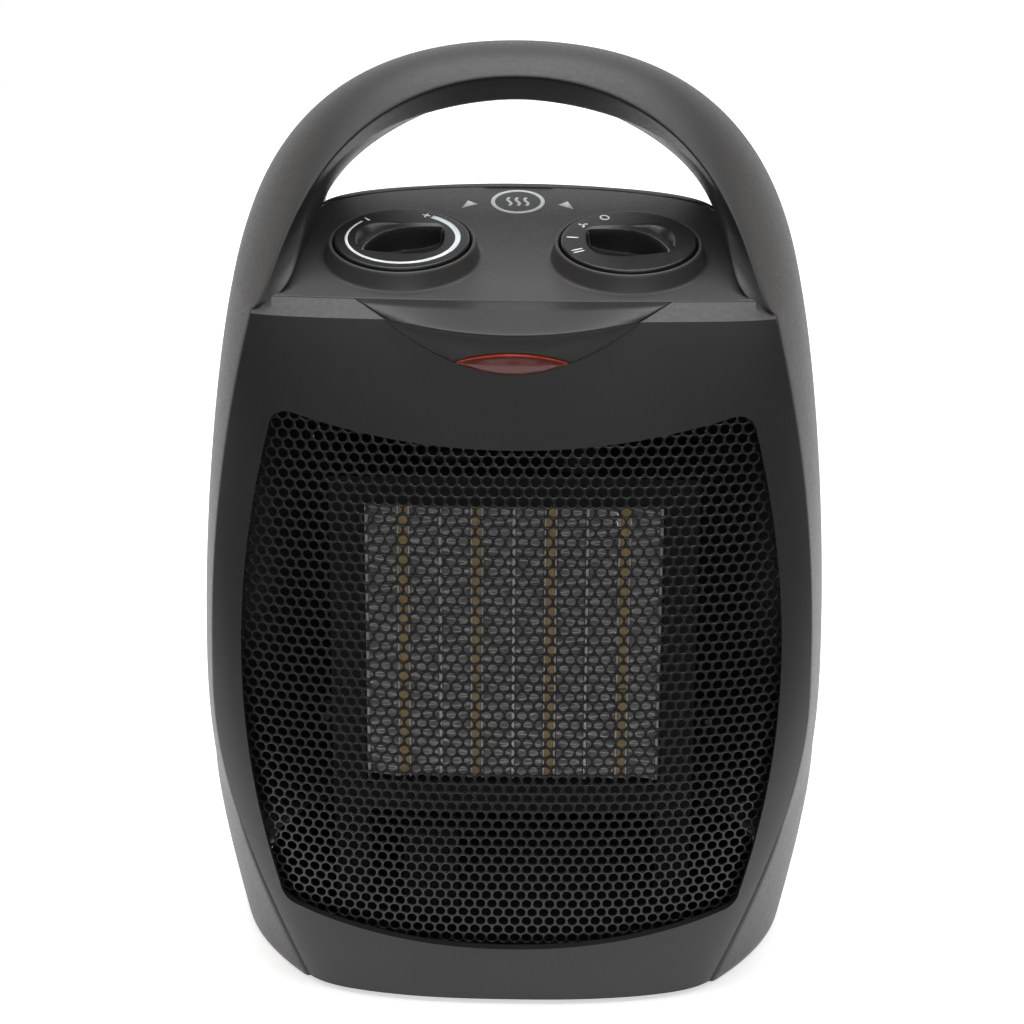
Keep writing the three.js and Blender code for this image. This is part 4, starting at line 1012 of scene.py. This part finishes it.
rear_shell = make("rear_housing_shell", rear_wall(), body_plastic, ["rear_housing"])
holes = intake_cutters()
holes += [round_hole(x, z, SCREW_HEAD_RADIUS + GAP, 9) for x, z in SCREW_PLACES]
holes.append(round_hole(INLET_X, INLET_Z, INLET_RADIUS + GAP, 15))
cut_away(rear_shell, holes)
make("rear_housing_hoop", rear_hoop(), body_plastic)


def screw_boss(screw_x, screw_z):
    """A tube inside the rear wall around a sunk screw head, closed behind the head around its shank."""
    seat = rear_y(screw_x, screw_z) - SCREW_SEAT
    rings = []

    def ring(radius, y=None):
        outline = circle(HOLE_STEPS) * radius + (screw_x, screw_z)
        if y is None:
            y = [rear_y(x, z) - BOSS_IN_WALL for x, z in outline]
        rings.append(upright(outline, y))

    ring(BOSS_RADIUS, seat - BOSS_DEPTH)
    ring(BOSS_RADIUS)
    ring(SCREW_HEAD_RADIUS + GAP)
    ring(SCREW_HEAD_RADIUS + GAP, seat)
    ring(SHANK_RADIUS + GAP, seat)
    ring(SHANK_RADIUS + GAP, seat - BOSS_DEPTH)
    return tube(rings)


bosses = merged(*[screw_boss(x, z) for x, z in SCREW_PLACES])
make("rear_housing_bosses", bosses, body_plastic)


# ---- Top panel: the sloping lid, with a collar and a well for each dial ----
def on_lid(points, centre_x=0.0):
    """Points drawn flat about a dial's place, with their height over the lid last, set on the lid."""
    points = np.asarray(points, float)
    x, y, up = points[..., 0], points[..., 1], points[..., 2]
    sine, cosine = math.sin(LID_TILT), math.cos(LID_TILT)
    return np.stack([centre_x + x, DIAL_Y + y * cosine - up * sine, DIAL_Z + y * sine + up * cosine], axis=-1)


def lathe(profile, centre_x, sides=128):
    """A turned body about a dial's axis through pairs of radius and height, closed flat at both ends."""
    around = circle(sides)
    return loft([
        on_lid(np.column_stack([around * radius, np.full(sides, height)]), centre_x)
        for radius, height in profile])


COLLAR = [
    (22.6, -1.6), (22.6, 0.0), (21.6, 0.06), (21.2, 0.25), (20.95, 0.7), (20.1, 4.2), (19.95, 4.65),
    (19.7, 4.93), (19.4, 5.0), (19.15, 4.93), (18.97, 4.7), (WELL_RADIUS, 4.4), (WELL_RADIUS, 1.0),
    (WELL_RADIUS - 0.5, 0.7), (3.6, 0.7), (3.6, -1.6),
]
LID_THICKNESS = 2.6
DIAL_HOLE_RADIUS = 19.6


def lid_plate():
    """The top panel as a flat plate with a bowed front edge."""
    right = lid_side[::3].copy()
    right[0, 1] += LID_FRONT_BOW
    front_x = np.linspace(-LID_FRONT_HALF_WIDTH, LID_FRONT_HALF_WIDTH, 41)[1:-1]
    front = np.column_stack([front_x, lid_front_y(front_x)])
    outline = np.vstack([right, (right * (-1, 1))[::-1][1:], front])
    top = np.column_stack([outline, lid_z(outline[:, 1])])
    return loft([top - (0, 0, LID_THICKNESS), top])


lid = make("top_panel_lid", lid_plate(), top_lit_plastic, ["top_panel"], flat=True)
cut_away(lid, [lathe([(DIAL_HOLE_RADIUS, -6), (DIAL_HOLE_RADIUS, 6)], x, 96) for x in (-DIAL_X, DIAL_X)])
round_edges(lid, 0.35, 3, 40)
for side, dial in ((-1, "thermostat"), (1, "selector")):
    collar = make(f"top_panel_collar_{dial}", lathe(COLLAR, side * DIAL_X), top_lit_plastic)
    collar.data.set_sharp_from_angle(angle=math.radians(50))

# ---- Dial knobs ----
KNOB_RINGS = 96
KNOB_SPOKES = 300
KNOB_EYE = 0.1
KNOB_RING_SPREAD = 1.6
EDGE_ROUND = 0.55
GRIP_REACH = 12.8
GRIP_HEIGHT = 3.3
GRIP_HALF_WIDTH = 1.3
GRIP_FLANK = 0.55
GRIP_BEND = 1.6
GRIP_OFFSET = 0.8
FAR_SCOOP_SHIFT = 1.5
NEAR_SCOOP_WIDTH = 10.8
NEAR_SCOOP_DEPTH = 3.6
FAR_SCOOP_WIDTH = 10.6
FAR_SCOOP_DEPTH = 3.0


def knob_height(x, y, angle, hand):
    """How high the knob's top is over the lid: a disc with an arched grip between two scoops."""
    along_grip = x * math.cos(angle) + y * math.sin(angle)
    across_grip = x * math.sin(angle) - y * math.cos(angle)
    t = np.clip(np.abs(along_grip) / GRIP_REACH, 0, 1)
    bend = GRIP_BEND * np.sin(hand * along_grip / GRIP_REACH * math.pi * 0.9)
    b = across_grip - bend + GRIP_OFFSET
    arch = np.cos(t * math.pi / 2) ** 0.8
    flank_end = GRIP_HALF_WIDTH + GRIP_FLANK
    on_grip = 1 - smooth_step(GRIP_HALF_WIDTH, flank_end, np.abs(b))
    near_edge = GRIP_HALF_WIDTH + NEAR_SCOOP_WIDTH * (1 - t**2)
    near_in = smooth_step(GRIP_HALF_WIDTH, flank_end, b)
    near_out = 1 - smooth_step(near_edge - 2.2, near_edge - 0.3, b)
    near = NEAR_SCOOP_DEPTH * near_in * near_out * smooth_step(0, 0.15, 1 - t)
    far_t = np.clip(np.abs(along_grip + hand * FAR_SCOOP_SHIFT) / (GRIP_REACH - 1), 0, 1)
    far_edge = GRIP_HALF_WIDTH + FAR_SCOOP_WIDTH * (1 - far_t**2)
    far_in = smooth_step(GRIP_HALF_WIDTH, flank_end, -b)
    far_out = 1 - smooth_step(far_edge - 5.5, far_edge - 0.5, -b)
    far = FAR_SCOOP_DEPTH * far_in * far_out * smooth_step(0, 0.3, 1 - far_t)
    return KNOB_TOP + GRIP_HEIGHT * arch * on_grip - near - far


def knob(centre_x, angle, hand):
    """The knob as rings from its middle out to its rounded edge, down its skirt and back under it."""
    spokes = circle(KNOB_SPOKES)
    rings = []

    def ring(radius, height):
        heights = np.broadcast_to(height, KNOB_SPOKES)
        rings.append(on_lid(np.column_stack([spokes * radius, heights]), centre_x))

    flat_radius = KNOB_RADIUS - EDGE_ROUND
    for radius in KNOB_EYE + (flat_radius - KNOB_EYE) * np.linspace(0, 1, KNOB_RINGS) ** KNOB_RING_SPREAD:
        ring(radius, knob_height(*(spokes * radius).T, angle, hand))
    for turn in np.linspace(0, math.pi / 2, 7)[1:]:
        ring(flat_radius + EDGE_ROUND * math.sin(turn), KNOB_TOP - EDGE_ROUND * (1 - math.cos(turn)))
    ring(KNOB_RADIUS, 1.6)
    ring(KNOB_RADIUS - 0.4, 1.3)
    ring(3.2, 1.3)
    return loft(rings)


GRIP_ANGLES = {"thermostat": math.radians(35), "selector": math.radians(-31)}
for side, dial, hand in ((-1, "thermostat", 1), (1, "selector", -1)):
    body = knob(side * DIAL_X, GRIP_ANGLES[dial], hand)
    make(f"{dial}_knob_cap", body, knob_plastic, [f"{dial}_knob"], f"{dial}_dial")

# ---- Printed marks: flat ink a hair above the surface ----
INK = 0.05
INK_SINK = 0.02
MARK_STROKE = 0.5


def ink_patch(outline, centre_x, height):
    """A flat printed shape on a dial or on the lid, from an outline in the lid's plane."""
    outline = np.asarray(outline, float)
    layers = [np.column_stack([outline, np.full(len(outline), height + h)]) for h in (-INK_SINK, INK)]
    return loft([on_lid(layer, centre_x) for layer in layers])


def stroke(points, width):
    """An outline of even or changing width along an open line."""
    points = np.asarray(points, float)
    run = np.gradient(points, axis=0)
    normal = np.column_stack([-run[:, 1], run[:, 0]]) / np.linalg.norm(run, axis=1, keepdims=True)
    half = np.broadcast_to(np.asarray(width, float), len(points))[:, None] / 2
    return np.vstack([points + normal * half, (points - normal * half)[::-1]])


def ring_band(x, y, radius, width, sides=64):
    """A closed ring of ink, as a band between two circles."""
    inner, outer = radius - width / 2, radius + width / 2
    corners = [(inner, -INK_SINK), (inner, INK), (outer, INK), (outer, -INK_SINK)]
    around = circle(sides)
    return tube([
        on_lid(np.column_stack([around * r + (x, y), np.full(sides, height)]))
        for r, height in corners])


def turned_mark(points, radius, angle):
    """Moves a mark drawn upright at the origin to its place on a dial, its top facing outwards."""
    a = math.radians(angle)
    turn = a - math.pi / 2
    points = np.asarray(points, float)
    x = points[:, 0] * math.cos(turn) - points[:, 1] * math.sin(turn)
    y = points[:, 0] * math.sin(turn) + points[:, 1] * math.cos(turn)
    return np.column_stack([x + radius * math.cos(a), y + radius * math.sin(a)])


def bar(x, half_height, width=MARK_STROKE):
    """An upright stroke."""
    return stroke([(x, -half_height), (x, half_height)], width)


SCALE_RADIUS = 15.1
MARK_RADIUS = 15.2
PLUS_ANGLE = 67
PLUS_REACH = 1.15
MINUS_ANGLE = 132
SCALE_STEPS = 120
sweep = np.radians(np.linspace(60, -221, SCALE_STEPS))
scale_line = np.column_stack([np.cos(sweep), np.sin(sweep)]) * SCALE_RADIUS
plus_cross = stroke([(-PLUS_REACH, 0), (PLUS_REACH, 0)], MARK_STROKE)
thermostat_marks = [
    stroke(scale_line, np.linspace(1.7, 0.55, SCALE_STEPS)),
    turned_mark(bar(0, PLUS_REACH), MARK_RADIUS, PLUS_ANGLE),
    turned_mark(plus_cross, MARK_RADIUS, PLUS_ANGLE),
    turned_mark(bar(0, 1.1), MARK_RADIUS, MINUS_ANGLE),
]
thermostat_ink = merged(*[ink_patch(mark, -DIAL_X, KNOB_TOP) for mark in thermostat_marks])
make("thermostat_scale_print", thermostat_ink, white_ink, rides="thermostat_dial")

OFF_ANGLE = 115
FAN_ANGLE = 144
LOW_HEAT_ANGLE = 175
FULL_HEAT_ANGLE = 206
HEAT_BAR = 1.6
BLADE_STEPS = 9


def blade(angle):
    """One curved blade of the fan mark."""
    bend, tip = angle + 0.8, 1.35
    middle = (0.9 * math.cos(bend), 0.9 * math.sin(bend))
    line = [(0, 0), middle, (tip * math.cos(angle), tip * math.sin(angle))]
    return stroke(bezier(line, np.linspace(0, 1, BLADE_STEPS)), np.linspace(0.3, 0.7, BLADE_STEPS))


nought = turned_mark(circle(27) * (1.1, 1.35), MARK_RADIUS, OFF_ANGLE)
selector_marks = [stroke(np.vstack([nought, nought[:1]]), MARK_STROKE)]
selector_marks += [turned_mark(blade(math.radians(a)), MARK_RADIUS, FAN_ANGLE) for a in (90, 210, 330)]
selector_marks.append(turned_mark(bar(0, HEAT_BAR, 0.6), MARK_RADIUS, LOW_HEAT_ANGLE))
selector_marks += [turned_mark(bar(x, HEAT_BAR), MARK_RADIUS, FULL_HEAT_ANGLE) for x in (-0.65, 0.65)]
selector_ink = merged(*[ink_patch(mark, DIAL_X, KNOB_TOP) for mark in selector_marks])
make("selector_scale_print", selector_ink, white_ink, rides="selector_dial")

POINTER_X = 13.6
POINTER_Y = 32.9
SYMBOL_Y = 35
SYMBOL_RADIUS = 7
WAVE_PITCH = 2.4
WAVE_HALF_HEIGHT = 2.6
WAVE_SWING = 0.55
WAVE_STEPS = 10


def pointer(side):
    """A small triangle that points down towards one dial."""
    corners = [(2, -2.3), (-2.3, 0.3), (0.4, 2.5)][::side]
    return ink_patch([(side * (POINTER_X + x), POINTER_Y + y) for x, y in corners], 0, 0)


def heat_wave(x):
    """One rising wavy line of the heat symbol."""
    rise = np.linspace(-WAVE_HALF_HEIGHT, WAVE_HALF_HEIGHT, WAVE_STEPS + 1)
    swing = WAVE_SWING * np.sin(np.arange(WAVE_STEPS + 1) * 2 * math.pi / WAVE_STEPS)
    return ink_patch(stroke(np.column_stack([x + swing, SYMBOL_Y + rise]), 0.85), 0, 0)


lid_marks = [pointer(-1), pointer(1), ring_band(0, SYMBOL_Y, SYMBOL_RADIUS, 1.15)]
lid_marks += [heat_wave(x) for x in (-WAVE_PITCH, 0, WAVE_PITCH)]
make("top_panel_print", merged(*lid_marks), white_ink)

# ---- Heating element: corrugated fins between ceramic bars and divider plates ----
FOLDS = 66
FOIL = 0.26
FOLD_LEAN = 0.35


def zigzag(x0, x1):
    """One corrugated strip, folded from wall to wall all the way up the element."""
    low = HEATER_Z - HEATER_HEIGHT / 2 + 0.3
    rise = (HEATER_HEIGHT - 0.6) / FOLDS
    path = []
    for fold in range(FOLDS + 1):
        x = x0 if fold % 2 else x1
        start_x = x + (FOLD_LEAN if fold % 2 else -FOLD_LEAN)
        z = low + fold * rise
        bend = ((start_x, -0.16), (x, -0.05), (x, 0.05), (start_x, 0.16))
        path += [(at_x, z + rise * share) for at_x, share in bend]
    path = np.array(path)
    run = np.gradient(path, axis=0)
    normal = np.column_stack([-run[:, 1], run[:, 0]]) / np.linalg.norm(run, axis=1, keepdims=True)
    back = HEATER_FRONT_Y + HEATER_DEPTH
    ring = []
    for y, offset in ((HEATER_FRONT_Y, -1), (HEATER_FRONT_Y, 1), (back, 1), (back, -1)):
        edge = path + normal * offset * FOIL / 2
        ring.append(np.column_stack([edge[:, 0], np.full(len(edge), y), edge[:, 1]]))
    return loft(np.array(ring).transpose(1, 0, 2))


for stack in range(1, 2 * BAYS + 1):
    low, high = (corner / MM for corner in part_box(f"fin_stack_{stack}"))
    strip = zigzag(low[0] + 0.05, high[0] - 0.05)
    make(f"fin_strip_{stack}", strip, aluminium, [f"fin_stack_{stack}"], flat=True)


def chamfered_bar(x0, x1, y0, y1, z0, z1, chamfer):
    """An upright bar with its long edges and ends chamfered."""
    def ring(inset, z):
        c = chamfer + inset
        left, right, front, back = x0 + inset, x1 - inset, y0 + inset, y1 - inset
        return [
            (x0 + c, front, z), (x1 - c, front, z), (right, y0 + c, z), (right, y1 - c, z),
            (x1 - c, back, z), (x0 + c, back, z), (left, y1 - c, z), (left, y0 + c, z)]

    return loft([ring(chamfer, z0), ring(0, z0 + chamfer), ring(0, z1 - chamfer), ring(chamfer, z1)])


STONES = 3
STONE_GAP = 0.5
ELECTRODE = 0.55
for bar_number in range(1, BAYS + 1):
    low, high = (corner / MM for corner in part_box(f"ceramic_bar_{bar_number}"))
    pitch = (high[2] - low[2]) / STONES
    stones = []
    for k in range(STONES):
        bottom, top = low[2] + k * pitch + STONE_GAP / 2, low[2] + (k + 1) * pitch - STONE_GAP / 2
        stones.append(chamfered_bar(
            low[0] + ELECTRODE, high[0] - ELECTRODE, low[1] + 0.3, high[1] - 0.3, bottom, top, 0.2))
    replaced = [f"ceramic_bar_{bar_number}"]
    make(f"ceramic_stones_{bar_number}", merged(*stones), heater_ceramic, replaced, flat=True)
    strips = [
        chamfered_bar(x0, x0 + ELECTRODE - 0.05, low[1], high[1], low[2], high[2], 0.08)
        for x0 in (low[0], high[0] - ELECTRODE + 0.05)]
    make(f"electrode_strips_{bar_number}", merged(*strips), aluminium, flat=True)

# ---- Floor, lights and camera ----
# The floor is a strip of paper that glows a little and runs far back behind the heater, in metres.
FLOOR_GLOW = 0.5
FLOOR_NEAR = -0.13
FLOOR_FAR = 6
FLOOR_HALF_WIDTH = 0.34
floor_mesh = bpy.data.meshes.new("floor")
floor_corners = [
    (-FLOOR_HALF_WIDTH, FLOOR_NEAR, 0), (FLOOR_HALF_WIDTH, FLOOR_NEAR, 0),
    (FLOOR_HALF_WIDTH, FLOOR_FAR, 0), (-FLOOR_HALF_WIDTH, FLOOR_FAR, 0)]
floor_mesh.from_pydata(floor_corners, [], [(0, 1, 2, 3)])
floor = add_object("floor", floor_mesh)
floor_look, floor_nodes, floor_links, floor_shader = new_material("floor_paper")
cloudy = noise(floor_nodes, floor_links, 3)
paper = shade(floor_nodes, floor_links, cloudy, (0.93, 0.93, 0.93), (0.95, 0.95, 0.95))
floor_links.new(paper, floor_shader.inputs["Base Color"])
floor_shader.inputs["Roughness"].default_value = 0.9
floor_shader.inputs["Specular IOR Level"].default_value = 0.1
floor_shader.inputs["Emission Color"].default_value = (1, 1, 1, 1)
floor_shader.inputs["Emission Strength"].default_value = FLOOR_GLOW
floor.data.materials.append(floor_look)

# The backdrop is bright only behind the heater, so that its front and sides reflect a dark room.
FRONT_SKY = 0.17
REAR_SKY = 1.0
world = bpy.data.worlds.new("studio")
world.use_nodes = True
sky_nodes, sky_links = world.node_tree.nodes, world.node_tree.links
direction = sky_nodes.new("ShaderNodeTexCoord")
split = sky_nodes.new("ShaderNodeSeparateXYZ")
sky_links.new(direction.outputs["Generated"], split.inputs["Vector"])
fade = sky_nodes.new("ShaderNodeMapRange")
fade.interpolation_type = "SMOOTHSTEP"
fade.inputs["From Min"].default_value = 0.3
fade.inputs["From Max"].default_value = 0.9
fade.inputs["To Min"].default_value = FRONT_SKY
fade.inputs["To Max"].default_value = REAR_SKY
sky_links.new(split.outputs["Y"], fade.inputs["Value"])
sky_links.new(fade.outputs["Result"], sky_nodes["Background"].inputs["Strength"])
sky_nodes["Background"].inputs["Color"].default_value = (1, 1, 1, 1)
bpy.context.scene.world = world


def softbox(name, place, target, size, power, colour=(1, 1, 1)):
    """A large square light aimed at a target, in metres and watts."""
    data = bpy.data.lights.new(name, "AREA")
    data.shape = "RECTANGLE"
    data.size, data.size_y = size
    data.energy = power
    data.color = colour
    light = add_object(name, data)
    light.location = place
    light.rotation_euler = (Vector(target) - Vector(place)).to_track_quat("-Z", "Y").to_euler()


softbox("key_top", (0.0, 0.1, 1.5), (0, 0, 0.1), (1.4, 1.2), 22)
for name, side in (("left_strip", -1), ("right_strip", 1)):
    softbox(name, (side * 1.2, 0.35, 0.5), (0, 0, 0.12), (0.7, 1.4), 4, (1.0, 0.93, 0.85))
softbox("front_fill", (0.2, -2.0, 0.9), (0, 0, 0.12), (1.6, 1.0), 14)

CAMERA_PLACE = (0.0144, -0.807, 0.448)
CAMERA_PITCH = math.radians(21.9)
CAMERA_AZIMUTH = math.radians(1.1)
CAMERA_ROLL = math.radians(0.3)
camera_data = bpy.data.cameras.new("camera")
camera_data.lens = 105.05
camera_data.sensor_width = 36
camera = add_object("camera", camera_data)
camera.location = CAMERA_PLACE
aim = Matrix.Rotation(CAMERA_AZIMUTH, 3, "Z") @ Matrix.Rotation(math.pi / 2 - CAMERA_PITCH, 3, "X")
camera.rotation_euler = (aim @ Matrix.Rotation(CAMERA_ROLL, 3, "Z")).to_euler()
bpy.context.scene.camera = camera
bpy.context.scene.view_settings.view_transform = "Standard"
